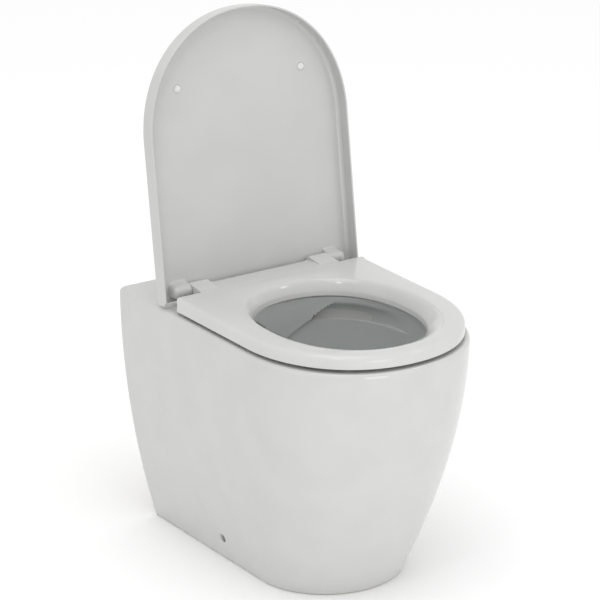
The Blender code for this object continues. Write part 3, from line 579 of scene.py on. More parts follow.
# %% Driving sizes of the pan, from the frame
pan_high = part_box("pan")[1]
PAN_HEIGHT = pan_high.z
PAN_HALF_WIDTH = pan_high.x
WALL_Y = pan_high.y
PAN_LENGTH = 2 * WALL_Y
PAN_BOW = 0.189
FOOT_LENGTH = 0.427
FOOT_HALF_WIDTH = 0.120
FOOT_BOW = 0.115
PAN_FRONT_POWER = 2.17
FOOT_FRONT_POWER = 2.0
WIDTH_TAPER_POWER = 1.98
LENGTH_TAPER_POWER = 1.60
RIM_EDGE_RADIUS = 0.008
BACK_CORNER_RADIUS = 0.004
FOOT_EDGE_RADIUS = 0.003
SKIRT_WALL = 0.010
DECK_THICKNESS = 0.014
PAN_STEPS = (120, 5, 64, 128)


def pan_section(z, inset=0.0, back=WALL_Y):
    """The outline of the pan at one height, as points."""
    drop = max((PAN_HEIGHT - z) / PAN_HEIGHT, 0.0)
    outline = d_outline(
        lerp(PAN_HALF_WIDTH, FOOT_HALF_WIDTH, drop**WIDTH_TAPER_POWER),
        lerp(PAN_LENGTH, FOOT_LENGTH, drop**LENGTH_TAPER_POWER),
        lerp(PAN_BOW, FOOT_BOW, drop),
        lerp(PAN_FRONT_POWER, FOOT_FRONT_POWER, drop),
        BACK_CORNER_RADIUS,
        inset,
        PAN_STEPS,
    )
    return np.column_stack([outline[:, 0], back - outline[:, 1], np.full(len(outline), z)])


print("pan", round(2 * PAN_HALF_WIDTH, 3), "wide,", round(PAN_LENGTH, 3), "deep")

# %% [markdown]
# ### The bowl's wall, its flush channel and the hood
#
# Below the rim a channel runs round both sides: the flush water leaves it over a crisp lower
# lip. Its middle at the back is hidden by a hood, a tongue of china that turns the water to the
# two sides. The channel is deepest beside the hood and fades out towards the front. It could be
# cut with a tool, but a glazed edge is soft and changes all along its length, so each point of
# the wall is pushed outwards by a depth that depends on where it is.

# %% The bowl as a field of offsets
OPENING_HALF_WIDTH = 0.128
OPENING_FRONT_Y = -0.2315
OPENING_BACK_Y = 0.0725
OPENING_EDGE_RADIUS = 0.005
SUMP_HALF_WIDTH = 0.040
SUMP_FRONT_Y = -0.060
SUMP_BACK_Y = 0.035
SUMP_FLOOR = 0.118
WALL_TOP = 0.3605
BOWL_POWER = 2.1
BOWL_WALL = 0.010
CHANNEL_DEPTH = 0.012
RECESS_DEPTH = 0.005
HOOD_EDGE = 0.0016
# Half width of the hood at each height, from its tip up to where it joins the rim.
HOOD_SHAPE = (
    (0.3363, 0.0000),
    (0.3454, 0.0145),
    (0.3532, 0.0275),
    (0.3616, 0.0410),
    (0.3784, 0.0609),
    (0.3892, 0.0736),
    (0.3940, 0.0851),
)
# Depth of the channel as (share of full depth, height), from its soft top, down to the floor of
# its gutter and up again to its crisp lip.
CHANNEL_PROFILE = (
    (0.00, 0.3910),
    (0.04, 0.3890),
    (0.14, 0.3865),
    (0.30, 0.3840),
    (0.50, 0.3812),
    (0.70, 0.3780),
    (0.86, 0.3742),
    (0.96, 0.3700),
    (1.00, 0.3655),
    (1.00, 0.3610),
    (0.94, 0.3585),
    (0.80, 0.3572),
    (0.55, 0.3568),
    (0.32, 0.3574),
    (0.14, 0.3588),
    (0.04, 0.3600),
    (0.00, 0.3604),
)
OPENING_CENTRE_Y = (OPENING_FRONT_Y + OPENING_BACK_Y) / 2
plan = pan_section(PAN_HEIGHT)
station_angle = np.arctan2(plan[:, 1] - OPENING_CENTRE_Y, plan[:, 0])
station_out = np.column_stack([np.cos(station_angle), np.sin(station_angle)])


def oval_radius(half_width, half_length, angle=station_angle, power=BOWL_POWER):
    """Distance from the middle of a rounded oval to its edge, in each direction."""
    across = np.abs(np.cos(angle)) / half_width
    along = np.abs(np.sin(angle)) / half_length
    return (across**power + along**power) ** (-1 / power)


def bowl_ring(z, grow=0.0, height=None):
    """The bowl's outline at one height, pushed outwards by an amount at each station."""
    share = np.clip((z - SUMP_FLOOR) / (WALL_TOP - SUMP_FLOOR), 0.0, 1.0)
    reach = np.sin(np.pi / 2 * share)
    half = lerp(SUMP_HALF_WIDTH, OPENING_HALF_WIDTH, reach)
    front = lerp(SUMP_FRONT_Y, OPENING_FRONT_Y, reach)
    back = lerp(SUMP_BACK_Y, OPENING_BACK_Y, reach)
    radius = oval_radius(half, (back - front) / 2) + grow
    xy = station_out * radius[:, None] + (0.0, (front + back) / 2)
    return np.column_stack([xy, np.full(len(xy), z if height is None else height)])


rim_ring = bowl_ring(PAN_HEIGHT)
hood_heights, hood_halves = zip(*HOOD_SHAPE)


def under_hood(z):
    """1 where the hood covers the wall at this height, 0 outside it, soft at its edge."""
    half = np.interp(z, hood_heights, hood_halves, left=-0.01)
    behind = rim_ring[:, 1] > 0
    return smoothstep((half - np.abs(rim_ring[:, 0])) / (2 * HOOD_EDGE) + 0.5) * behind


def wall_offset(z, share):
    """How far the wall stands outside the plain oval at one height of the channel's profile."""
    y = rim_ring[:, 1]
    depth = CHANNEL_DEPTH * smoothstep((y + 0.080) / 0.100)
    recess = RECESS_DEPTH * smoothstep((y + 0.045) / 0.085)
    recess = recess * smoothstep((z - 0.270) / (WALL_TOP - 0.270))
    recess = recess * (1 - smoothstep((z - 0.3745) / 0.0147))
    return (recess + (depth - recess) * share) * (1 - under_hood(z))


def bowl_rows():
    """Rings from the rolled edge of the opening down to the middle of the sump."""
    rows = []
    for a in np.linspace(0, np.pi / 2, 8):
        grow = OPENING_EDGE_RADIUS * (1 - np.sin(a))
        drop = OPENING_EDGE_RADIUS * (1 - np.cos(a))
        rows.append(bowl_ring(PAN_HEIGHT - drop, grow))
    rows.append(bowl_ring(0.3925))
    shares, heights = (np.array(column) for column in zip(*CHANNEL_PROFILE))
    steady = heights.copy()
    lip_rows = len(steady) - int(np.argmax(shares))
    steady[-lip_rows:] = np.linspace(steady[-lip_rows], steady[-1], lip_rows)
    open_here = smoothstep((rim_ring[:, 1] + 0.080) / 0.100)
    for share, z, even in zip(shares, heights, steady):
        height = lerp(even, z, open_here * (1 - under_hood(even)))
        rows.append(bowl_ring(even, wall_offset(even, share), height))
    for z in np.concatenate([np.arange(0.3590, 0.3290, -0.0015), np.arange(0.328, 0.2, -0.004)]):
        rows.append(bowl_ring(z, wall_offset(z, 0.0)))
    for z in np.arange(0.196, SUMP_FLOOR + 0.004, -0.005):
        rows.append(bowl_ring(z))
    bottom = rows[-1]
    middle = np.array([0.0, (SUMP_FRONT_Y + SUMP_BACK_Y) / 2, SUMP_FLOOR])
    for share in (0.94, 0.82, 0.62, 0.38, 0.12):
        sink = (1 - share**2) * (bottom[0, 2] - SUMP_FLOOR)
        ring = middle + (bottom - middle) * share
        ring[:, 2] = bottom[0, 2] - sink
        rows.append(ring)
    return rows


print("bowl rings:", len(bowl_rows()), "of", len(plan), "points")


# %% [markdown]
# ### One skin for everything that is glazed
#
# The outside rises from a softened foot, rolls over the rim, crosses the deck and meets the
# bowl's rings, all with the same number of points. It could be separate shells joined later,
# but then a seam would run through the glaze, so the sections are stacked into a single skin.


# %% Skin the outside, the deck and the bowl in one piece
def outside_rows():
    rows = []
    for a in np.linspace(0, np.pi / 2, 4):
        inset = FOOT_EDGE_RADIUS * (1 - np.sin(a))
        rows.append(pan_section(FOOT_EDGE_RADIUS * (1 - np.cos(a)), inset))
    straight_top = PAN_HEIGHT - RIM_EDGE_RADIUS
    for z in np.linspace(FOOT_EDGE_RADIUS, straight_top, 46)[1:]:
        rows.append(pan_section(z))
    for a in np.linspace(0, np.pi / 2, 11)[1:]:
        z = straight_top + RIM_EDGE_RADIUS * np.sin(a)
        inset = RIM_EDGE_RADIUS * (1 - np.cos(a))
        rows.append(pan_section(z, inset, WALL_Y - BACK_CORNER_RADIUS * (1 - np.cos(a))))
    return rows


outside = outside_rows()
bowl = bowl_rows()
deck = [lerp(outside[-1], bowl[0], share) for share in (0.04, 0.35, 0.70, 0.96)]
pan = skin("pan_china", outside + deck + bowl, china_glaze)
print("pan skin:", len(pan.data.polygons), "faces")

# %% [markdown]
# ### What the skirt hides
#
# The ware is hollow: a skirt about 10 mm thick, open at the floor and at the wall, with the
# bowl, the trap and the flush inlet hanging inside it. That hidden side is left unglazed, so it
# shows the bare body. Here the hollow is one tool, less the solids that hang in it, and it takes
# its own clay-coloured material into the pan when it is cut.

# %% The hollow inside the skirt
OUTLET_HEIGHT = 0.185
OUTLET_BORE = 0.041
OUTLET_END_Y = WALL_Y - 0.020
TRAP_BORE = 0.026
TRAP_WALL = 0.008
INLET_HEIGHT = 0.352
INLET_OUTER = 0.036
INLET_SOCKET = 0.0275
INLET_BORE = 0.020
INLET_END_Y = WALL_Y - 0.010
HOOD_THICKNESS = 0.0085
CHAMBER_BACK = 0.1005


def skirt_hollow():
    """The space inside the skirt; at the wall it runs past the back edge, so it is open there."""
    corner = 0.006
    spring = PAN_HEIGHT - DECK_THICKNESS - corner
    beyond = 0.010
    levels = [(-0.005, 0.0)] + [(z, 0.0) for z in np.linspace(0.02, spring, 16)]
    turn = np.linspace(0, np.pi / 2, 5)[1:]
    levels += [(spring + corner * np.sin(a), corner * (1 - np.cos(a))) for a in turn]
    rows = []
    for z, inset in levels:
        section = pan_section(max(z, 0.0), SKIRT_WALL + inset, WALL_Y + beyond)
        section[:, 1] -= beyond * (section[:, 1] < WALL_Y - 0.01)
        section[:, 2] = z
        rows.append(section[::2])
    return skin("hollow", rows, bare_clay)


def bowl_outside():
    rows = []
    for z in np.linspace(SUMP_FLOOR - BOWL_WALL, 0.35, 22):
        rows.append(bowl_ring(max(z, SUMP_FLOOR), BOWL_WALL, z)[::3])
    for z in (0.356, 0.375, PAN_HEIGHT - DECK_THICKNESS / 2):
        y = rim_ring[:, 1]
        depth = (CHANNEL_DEPTH + 0.002) * smoothstep((y + 0.080) / 0.100)
        rows.append(bowl_ring(z, BOWL_WALL + depth)[::3])
    low = rows[0]
    middle = low.mean(axis=0)
    first = middle + (low - middle) * 0.6
    first[:, 2] = low[0, 2] - 0.002
    return skin("bowl_outside", [first] + rows, bare_clay)


def smooth_path(points, per_span=8):
    """A Catmull-Rom curve through rows of (y, z, radius)."""
    rows = np.asarray([points[0], *points, points[-1]], float)
    out = []
    for p0, p1, p2, p3 in zip(rows, rows[1:], rows[2:], rows[3:]):
        for t in np.linspace(0, 1, per_span, endpoint=False):
            bend = 2 * p0 - 5 * p1 + 4 * p2 - p3 + t * (3 * (p1 - p2) + p3 - p0)
            out.append(p1 + t / 2 * (p2 - p0 + t * bend))
    out.append(rows[-1])
    return np.array(out)


def pipe(name, points, grow=0.0, material=None, sides=48):
    """A pipe whose middle line lies in the plane that halves the pan."""
    path = smooth_path(points)
    along = np.gradient(path[:, :2], axis=0)
    along /= np.linalg.norm(along, axis=1)[:, None]
    angles = np.linspace(0, 2 * np.pi, sides, endpoint=False)
    rows = []
    for (y, z, radius), (dy, dz) in zip(path, along):
        r = radius + grow
        rows.append(
            np.column_stack(
                [
                    r * np.cos(angles),
                    y - dz * r * np.sin(angles),
                    z + dy * r * np.sin(angles),
                ]
            )
        )
    return skin(name, rows, material)


def trap_path(start, end):
    """From the sump down, back up over the weir, and out to the soil pipe."""
    return [
        start,
        (0.036, 0.108, TRAP_BORE),
        (0.068, 0.104, TRAP_BORE),
        (0.100, 0.130, TRAP_BORE),
        (0.122, 0.172, TRAP_BORE),
        (0.150, 0.208, TRAP_BORE),
        (0.180, 0.212, TRAP_BORE + 0.002),
        (0.205, 0.198, TRAP_BORE + 0.008),
        (0.226, OUTLET_HEIGHT, OUTLET_BORE),
        (end, OUTLET_HEIGHT, OUTLET_BORE),
    ]


trap_outside = pipe(
    "trap_outside", trap_path((0.015, 0.125, TRAP_BORE), OUTLET_END_Y), TRAP_WALL, bare_clay
)
housing = block(
    "flush_housing", (-0.078, 0.050, 0.335), (0.078, 0.1105, 0.394), bare_clay, bevel=0.006
)
inlet_outside = turned(
    "inlet_outside",
    [(0.0, INLET_OUTER - 0.001), (0.001, INLET_OUTER), (INLET_END_Y - 0.105, INLET_OUTER)],
    (0, INLET_END_Y, INLET_HEIGHT),
    (0, -1, 0),
    bare_clay,
)
hollow = cut(skirt_hollow(), bowl_outside(), trap_outside, housing, inlet_outside)
cut(pan, hollow)
print("pan with its hollow:", len(pan.data.polygons), "faces")


# %% [markdown]
# ### Where the water goes, and where the bolts go
#
# Water comes in through the socket at the back, fills a slot behind the hood and leaves it at
# both ends into the channel. The trap is a pipe that dips and climbs over a weir. Each is drawn
# as a solid tool and cut out, as the plaster cores of the real mould do.


# %% Bores, the flush chamber and the fixing holes
def chamber():
    """A curved slot behind the hood that opens into the channel at its two ends."""
    x = np.linspace(-0.052, 0.052, 36)
    half_length = (OPENING_BACK_Y - OPENING_FRONT_Y) / 2
    across = np.abs(x / OPENING_HALF_WIDTH) ** BOWL_POWER
    wall = OPENING_CENTRE_Y + half_length * (1 - across) ** (1 / BOWL_POWER)
    front = np.column_stack([x, wall + HOOD_THICKNESS])
    back = np.column_stack([x[::-1], np.full_like(x, CHAMBER_BACK)])
    loop = np.concatenate([front, back])
    rows = [np.column_stack([loop, np.full(len(loop), z)]) for z in (0.3600, 0.3665)]
    return skin("chamber", rows, china_glaze)


inlet_bore = turned(
    "inlet_bore",
    [
        (-0.005, INLET_SOCKET + 0.001),
        (0.0, INLET_SOCKET + 0.001),
        (0.001, INLET_SOCKET),
        (0.040, INLET_SOCKET),
        (0.044, INLET_BORE),
        (INLET_END_Y - CHAMBER_BACK + 0.004, INLET_BORE),
    ],
    (0, INLET_END_Y, INLET_HEIGHT),
    (0, -1, 0),
    china_glaze,
)
trap_bore = pipe(
    "trap_bore",
    trap_path((0.015, 0.132, TRAP_BORE - 0.004), OUTLET_END_Y + 0.005),
    0.0,
    china_glaze,
)
SEAT_HOLE_X = 0.0775
POST_Y = 0.1455
SIDE_HOLE_Y = 0.055
SIDE_HOLE_Z = 0.040
SIDE_HOLE_RADIUS = 0.0065
skirt_drop = (PAN_HEIGHT - SIDE_HOLE_Z) / PAN_HEIGHT
skirt_x = lerp(PAN_HALF_WIDTH, FOOT_HALF_WIDTH, skirt_drop**WIDTH_TAPER_POWER)
holes = [chamber(), inlet_bore, trap_bore]
for sign in (-1, 1):
    deck_hole = [(-0.004, 0.0065), (DECK_THICKNESS + 0.004, 0.0065)]
    at = (sign * SEAT_HOLE_X, POST_Y, PAN_HEIGHT)
    holes.append(turned("seat_hole", deck_hole, at, (0, 0, -1), bare_clay))
    soft_mouth = [(0.0, SIDE_HOLE_RADIUS)]
    mouth = skirt_x - 0.100 - 0.0005
    for a in np.linspace(0, np.pi / 2, 6):
        flare = 0.0016 * (1 - np.cos(a))
        soft_mouth.append((mouth - 0.0016 * (1 - np.sin(a)), SIDE_HOLE_RADIUS + flare))
    soft_mouth.append((mouth + 0.010, SIDE_HOLE_RADIUS + 0.0016))
    at = (sign * 0.100, SIDE_HOLE_Y, SIDE_HOLE_Z)
    holes.append(turned("side_hole", soft_mouth, at, (sign, 0, 0), china_glaze))
cut(pan, *holes)

# Painted shade: faces inside the bowl take the greyer copy of the glaze, for the dim light down in
# the bowl.
pan.data.materials.append(bowl_painted_shade_glaze)
slots = [m.name for m in pan.data.materials]
margin = CHANNEL_DEPTH + 0.001
for face in pan.data.polygons:
    place = face.center
    reach = math.sin(np.pi / 2 * np.clip((place.z - SUMP_FLOOR) / (WALL_TOP - SUMP_FLOOR), 0, 1))
    front = lerp(SUMP_FRONT_Y, OPENING_FRONT_Y, reach)
    back = lerp(SUMP_BACK_Y, OPENING_BACK_Y, reach)
    across = place.x / (lerp(SUMP_HALF_WIDTH, OPENING_HALF_WIDTH, reach) + margin)
    along = (place.y - (front + back) / 2) / ((back - front) / 2 + margin)
    in_bowl = across**2 + along**2 < 1 and SUMP_FLOOR - 0.001 < place.z < PAN_HEIGHT - 0.003
    if place.z < 0.0005:
        face.material_index = slots.index(bare_clay.name)
    elif in_bowl and face.material_index == 0:
        face.material_index = slots.index(bowl_painted_shade_glaze.name)
crisp(pan)
stands_for(pan, "pan", "vitreous_china", "pan")
print("finished pan:", len(pan.data.polygons), "faces")

# %% [markdown]
# ## The seat
#
# The ring is one moulding. Its outer edge rolls over in a long quarter ellipse at the front and
# sides, and in a tight radius along the back, where it meets the hinge. The middle rises to a
# slight crown, falls a little towards the opening and bends down into a steep funnel, which ends
# in a short upright lip that reaches nearly to the china. One profile is repeated at
# every place round the outline, and its edge sizes change from the front to the back.

# %% Seat sizes, from the frame
seat_low, seat_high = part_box("seat")
pin_low, pin_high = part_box("hinge_pin_right")
AXIS = (pin_low + pin_high) / 2
AXIS_Y, AXIS_Z = AXIS.y, AXIS.z
GAP = 0.0003
PIN_RADIUS = (pin_high.y - pin_low.y) / 2
PIN_END_X = pin_high.x
KNUCKLE_RADIUS = 0.0105
SEAT_UNDERSIDE = seat_low.z
SEAT_TOP = 0.4275
SEAT_HALF_WIDTH = seat_high.x
SEAT_FRONT_Y = seat_low.y
SEAT_BACK_Y = 0.1150
SEAT_BOW = 0.190
SEAT_FRONT_POWER = 2.12
SEAT_CORNER_RADIUS = 0.006
SEAT_STRIP_Y = AXIS_Y - 0.0007
SEAT_KNUCKLE_X = (0.0940, 0.1277)
HOLE_LOW = (0.1186, 0.1392, -0.0712)  # half width, half length and middle at the lowest edge
HOLE_TOP = (0.1345, 0.1610, -0.0815)  # the same where the funnel begins
HOLE_POWER = 2.2
CROWN = 0.0006
LIP_WIDTH = 0.0075  # of the lip that hangs below the underside round the opening
HOLE_TOP_Z = 0.4255
HOLE_LOW_Z = 0.4012
HOLE_CREASE_Z = 0.4088
FRONT_EDGE = (0.0130, 0.0105)  # reach and drop of the rolled edge
BACK_EDGE = (0.0022, 0.0022)


def hole_edge(half_width, half_length, middle_y, angle):
    """The point of the rounded opening that lies in each direction from its own middle."""
    radius = oval_radius(half_width, half_length, angle, HOLE_POWER)
    return np.column_stack([radius * np.cos(angle), middle_y + radius * np.sin(angle)])


def funnel_shares(t):
    """The funnel's slope: shares of the way in and of the way down, bending over at both ends."""
    inward = 3 * (1 - t) ** 2 * t * 0.30 + 3 * (1 - t) * t**2 * 0.80 + t**3
    down = 3 * (1 - t) ** 2 * t * 0.09 + 3 * (1 - t) * t**2 * 0.62 + t**3
    return inward, down


def seat_profiles():
    """One closed profile of (x, y, z) points for every station round the seat."""
    length = SEAT_BACK_Y - SEAT_FRONT_Y
    steps = (80, 7, 50, 150)
    plan = d_outline(
        SEAT_HALF_WIDTH, length, SEAT_BOW, SEAT_FRONT_POWER, SEAT_CORNER_RADIUS, 0.0, steps
    )
    outer = np.column_stack([plan[:, 0], SEAT_BACK_Y - plan[:, 1]])
    angle = np.arctan2(outer[:, 1] - HOLE_LOW[2], outer[:, 0])
    low = hole_edge(*HOLE_LOW, angle)
    top = hole_edge(*HOLE_TOP, angle)
    out = outer - low
    out /= np.linalg.norm(out, axis=1)[:, None]
    sideways = smoothstep((SEAT_BACK_Y - outer[:, 1]) / 0.008)
    reach = lerp(BACK_EDGE[0], FRONT_EDGE[0], sideways)
    drop = lerp(BACK_EDGE[1], FRONT_EDGE[1], sideways)
    shoulder = SEAT_TOP - CROWN
    rows = []

    def row(points, z):
        height = np.broadcast_to(z, len(points))
        rows.append(np.column_stack([points, height]))

    foot = low + out * LIP_WIDTH
    row(foot - out * 0.0025, HOLE_LOW_Z)
    row(foot - out * 0.0008, HOLE_LOW_Z + 0.0008)
    row(foot, SEAT_UNDERSIDE)
    for share in (0.15, 0.5, 0.85):
        row(lerp(foot, outer, share), SEAT_UNDERSIDE)
    for a in np.linspace(0, np.pi / 2, 5):
        row(outer - out * 0.001 * (1 - np.sin(a)), SEAT_UNDERSIDE + 0.001 * (1 - np.cos(a)))
    for a in np.linspace(0, np.pi / 2, 15):
        row(outer - out * (reach * (1 - np.cos(a)))[:, None], shoulder - drop * (1 - np.sin(a)))
    flat_from = outer - out * reach[:, None]
    dish = shoulder - HOLE_TOP_Z
    for share in np.linspace(0.12, 0.96, 12):
        crown = CROWN * (1 - max(1 - 2 * share, 0.0) ** 2)
        fall = dish * max(2 * share - 1, 0.0) ** 2.2
        row(lerp(flat_from, top, share), shoulder + crown - fall)
    crease = low + out * 0.0012
    for inward, down in (funnel_shares(t) for t in np.linspace(0.0, 1.0, 16)):
        row(lerp(top, crease, inward), lerp(HOLE_TOP_Z, HOLE_CREASE_Z, down))
    for share in (0.25, 0.5, 0.75):
        row(lerp(crease, low, share), lerp(HOLE_CREASE_Z, HOLE_LOW_Z + 0.0012, share))
    for a in np.linspace(0, np.pi / 2, 5):
        row(low + out * 0.0012 * (1 - np.cos(a)), HOLE_LOW_Z + 0.0012 * (1 - np.sin(a)))
    return np.stack(rows, axis=1)


seat = skin("seat_moulding", seat_profiles(), urea_white, ring=True)
print("seat ring:", len(seat.data.polygons), "faces")

# %% [markdown]
# ### The strip along the hinge, and the two knuckles
#
# Behind the ring a narrower strip runs to the hinge, between the knuckles of the lid. At each
# end it climbs over the hinge pin as a flat tab that is tangent to the knuckle, so there is no
# step to trap dirt. Each is a section drawn once and swept sideways.


# %% Strip, tabs and the rooms for the hinges
def swept(name, section, x_from, x_to, material=None, soft=0.0):
    """Sweep a (y, z) section along X; soft pulls the two ends in like a rounded edge."""
    section = np.asarray(section, float)
    middle = section.mean(axis=0)
    reach = np.abs(section - middle).max()
    turn = np.linspace(0, np.pi / 2, 5) if soft else [np.pi / 2]
    ends = [(soft * (1 - np.cos(a)), soft * (1 - np.sin(a))) for a in turn]
    span = x_to - x_from
    places = ends + [(span - along, pull) for along, pull in reversed(ends)]
    rows = []
    for along, pull in places:
        shape = middle + (section - middle) * (1 - pull / reach)
        rows.append(np.column_stack([np.full(len(shape), x_from + along), shape]))
    return skin(name, rows, material)


def arc(centre, radius, start, end, steps):
    """Points of an arc as (y, z), with angles in degrees from +Y towards +Z."""
    a = np.radians(np.linspace(start, end, steps))
    return [(centre[0] + radius * np.cos(t), centre[1] + radius * np.sin(t)) for t in a]


strip = [(0.098, SEAT_UNDERSIDE + 0.0002), (SEAT_STRIP_Y - 0.0015, SEAT_UNDERSIDE + 0.0002)]
strip += arc((SEAT_STRIP_Y - 0.0015, SEAT_UNDERSIDE + 0.0017), 0.0015, -60, 0, 4)
strip += arc((SEAT_STRIP_Y - 0.0022, SEAT_TOP - 0.0036), 0.0022, 0, 90, 7)
strip += [(0.128, SEAT_TOP - 0.0008), (0.112, SEAT_TOP - 0.0004), (0.098, SEAT_TOP - 0.0012)]
half = SEAT_KNUCKLE_X[1] + 0.0006
join(seat, swept("seat_strip", strip, -half, half, urea_white, soft=0.0008))

axis_point = (AXIS_Y, AXIS_Z)
tab = [(0.112, SEAT_UNDERSIDE + 0.003), (0.112, SEAT_TOP - 0.0008), (0.120, SEAT_TOP - 0.0002)]
tab += arc(axis_point, KNUCKLE_RADIUS, 114, -90, 32)
for sign in (-1, 1):
    ends = sorted((sign * SEAT_KNUCKLE_X[0], sign * SEAT_KNUCKLE_X[1]))
    join(seat, swept("seat_tab", tab, *ends, urea_white, soft=0.0007))


def axis_cylinder(name, x_from, x_to, radius, material=None, sides=48):
    """A cylinder on the hinge axis."""
    rows = [(0.0, radius), (x_to - x_from, radius)]
    return turned(name, rows, (x_from, AXIS_Y, AXIS_Z), (1, 0, 0), material, sides)


def mirrored(sign, low, high):
    return sorted((sign * low, sign * high))


LUG_X = (0.0860, 0.0937)
LUG_RADIUS = 0.0050
POST_RADIUS = 0.0065
POST_FLANGE_RADIUS = 0.0095
BOLT_SHANK = 0.0040
HINGE_BODY_TOP = 0.4195
LID_KNUCKLE_X = (0.1280, 0.1590)
cartridges = {name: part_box(name) for name in ("seat_damper", "seat_bush", "lid_damper", "lid_bush")}
for sign, cartridge in ((-1, "seat_damper"), (1, "seat_bush")):
    body_low, body_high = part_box("hinge_body_left" if sign < 0 else "hinge_body_right")
    inner_x = min(abs(body_low.x), abs(body_high.x)) - 0.0008
    clear = mirrored(sign, SEAT_KNUCKLE_X[1], LID_KNUCKLE_X[1] + 0.003)
    room_front = AXIS_Y - KNUCKLE_RADIUS - 0.003
    tools = [block("knuckle_room", (clear[0], room_front, 0.395), (clear[1], 0.175, 0.440))]
    pocket = mirrored(sign, inner_x, SEAT_KNUCKLE_X[0])
    pocket_front = body_low.y - 0.0030
    tools.append(
        block("pocket", (pocket[0], pocket_front, 0.395), (pocket[1], 0.175, AXIS_Z - 0.0002))
    )
    lug_room = mirrored(sign, LUG_X[0] - 0.0008, SEAT_KNUCKLE_X[0])
    tools.append(axis_cylinder("lug_room", *lug_room, LUG_RADIUS + 0.0005))
    low, high = cartridges[cartridge]
    far_x = max(abs(low.x), abs(high.x)) + GAP
    bore = mirrored(sign, SEAT_KNUCKLE_X[0] - 0.001, far_x)
    tools.append(axis_cylinder("cartridge_room", *bore, (high.y - low.y) / 2 + GAP))
    through = mirrored(sign, SEAT_KNUCKLE_X[0] - 0.001, SEAT_KNUCKLE_X[1] + 0.002)
    tools.append(axis_cylinder("pin_room", *through, PIN_RADIUS + GAP))
    cut(seat, *tools)

for place in ("front_left", "front_right", "rear_left", "rear_right"):
    low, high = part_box(f"seat_buffer_{place}")
    room = (high.x - low.x) / 2 + GAP
    at = ((low.x + high.x) / 2, (low.y + high.y) / 2, SEAT_UNDERSIDE)
    cut(seat, turned("buffer_room", [(-0.003, room), (0.002, room)], at, (0, 0, 1)))
crisp(seat)
stands_for(seat, "seat", "thermoset_white", "seat")
print("finished seat:", len(seat.data.polygons), "faces")

# %% [markdown]
# ## The lid
#
# The lid is a shallow tray that drops over the seat. It is drawn lying in its own plane, with
# one function that turns distances across, up and forward into places where it stands open. The
# lip is a thin wall with a rounded end, and the corner between wall and panel is a soft fillet,
# as on any pressed part that has to leave its mould.

# %% Lid sizes and its outline
lid_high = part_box("lid")[1]
LID_LEAN = math.radians(7.63)
LID_REAR = Vector((0.0, WALL_Y - 0.111, 0.403))
LID_LENGTH = 0.4375
LID_HALF_WIDTH = lid_high.x
LID_BOW = 0.189
LID_FRONT_POWER = 2.10
LID_DEPTH = 0.0276
LID_PANEL = 0.0045
LID_LIP = 0.0030
LID_EDGE_RADIUS = 0.006
LIP_ROUND = 0.0013
LID_STEPS = (80, 4, 60, 160)
rise = Vector((0, math.sin(LID_LEAN), math.cos(LID_LEAN)))
ahead = Vector((0, -math.cos(LID_LEAN), math.sin(LID_LEAN)))


def lid_point(across, up, forward):
    """A point in the lid's own frame, where it stands open at rest."""
    return LID_REAR + Vector((across, 0, 0)) + rise * up + ahead * forward


def lid_loop(forward, inset, rear=0.0):
    outline = d_outline(
        LID_HALF_WIDTH, LID_LENGTH - rear, LID_BOW, LID_FRONT_POWER, 0.002, inset, LID_STEPS
    )
    return [lid_point(x, rear + up, forward) for x, up in outline]


outside = []
for a in np.linspace(0, np.pi / 2, 9):
    inset = LID_EDGE_RADIUS * (1 - np.sin(a))
    outside.append(lid_loop(LID_EDGE_RADIUS * (1 - np.cos(a)), inset, 0.3 * inset))
for forward in np.linspace(LID_EDGE_RADIUS, LID_DEPTH - LIP_ROUND, 6)[1:]:
    outside.append(lid_loop(forward, 0.0))
for a in np.linspace(0, np.pi / 2, 6)[1:]:
    forward = LID_DEPTH - LIP_ROUND * (1 - np.sin(a))
    outside.append(lid_loop(forward, LIP_ROUND * (1 - np.cos(a))))
lid = skin("lid_moulding", outside, urea_lid_painted_shade)

OPEN_REAR = -0.006
inside = []
for a in np.linspace(0, np.pi / 2, 9):
    inset = LID_LIP + LID_EDGE_RADIUS * (1 - np.sin(a))
    inside.append(lid_loop(LID_PANEL + LID_EDGE_RADIUS * (1 - np.cos(a)), inset, OPEN_REAR))
for a in np.linspace(0, np.pi / 2, 6):
    forward = LID_DEPTH - LIP_ROUND * (1 - np.sin(a))
    inside.append(lid_loop(forward, LID_LIP - LIP_ROUND * (1 - np.cos(a)), OPEN_REAR))
inside.append(lid_loop(LID_DEPTH + 0.003, LID_LIP - LIP_ROUND, OPEN_REAR))
cut(lid, skin("lid_inside", inside, urea_lid_painted_shade))

corner = block("lid_corner", (-0.19, -0.006, -0.006), (0.19, 0.006, 0.006))
corner.location = lid_point(0, -0.001, LID_DEPTH + 0.001)
corner.rotation_euler = (math.pi / 4 - LID_LEAN, 0, 0)
cut(lid, corner)
print("lid tray:", len(lid.data.polygons), "faces")

# %% [markdown]
# ### The lid's knuckles
#
# Each knuckle grows out of the panel: it is round in front, where it turns about the pin, and
# its back runs up into the panel in a smooth hollow curve. Its outer end is domed. The section
# is worked out at many places along the pin, each a little smaller towards the domed end.

# %% Knuckles, their bores and the buffer seats
axis_offset = Vector((0, AXIS_Y, AXIS_Z)) - LID_REAR
AXIS_UP = axis_offset.dot(rise)
AXIS_AHEAD = axis_offset.dot(ahead)
FAIRING_RISE = 0.006


def bezier(p0, p1, p2, p3, steps):
    t = np.linspace(0, 1, steps)[:, None]
    p0, p1, p2, p3 = (np.asarray(p, float) for p in (p0, p1, p2, p3))
    return (1 - t) ** 3 * p0 + 3 * (1 - t) ** 2 * t * p1 + 3 * (1 - t) * t**2 * p2 + t**3 * p3


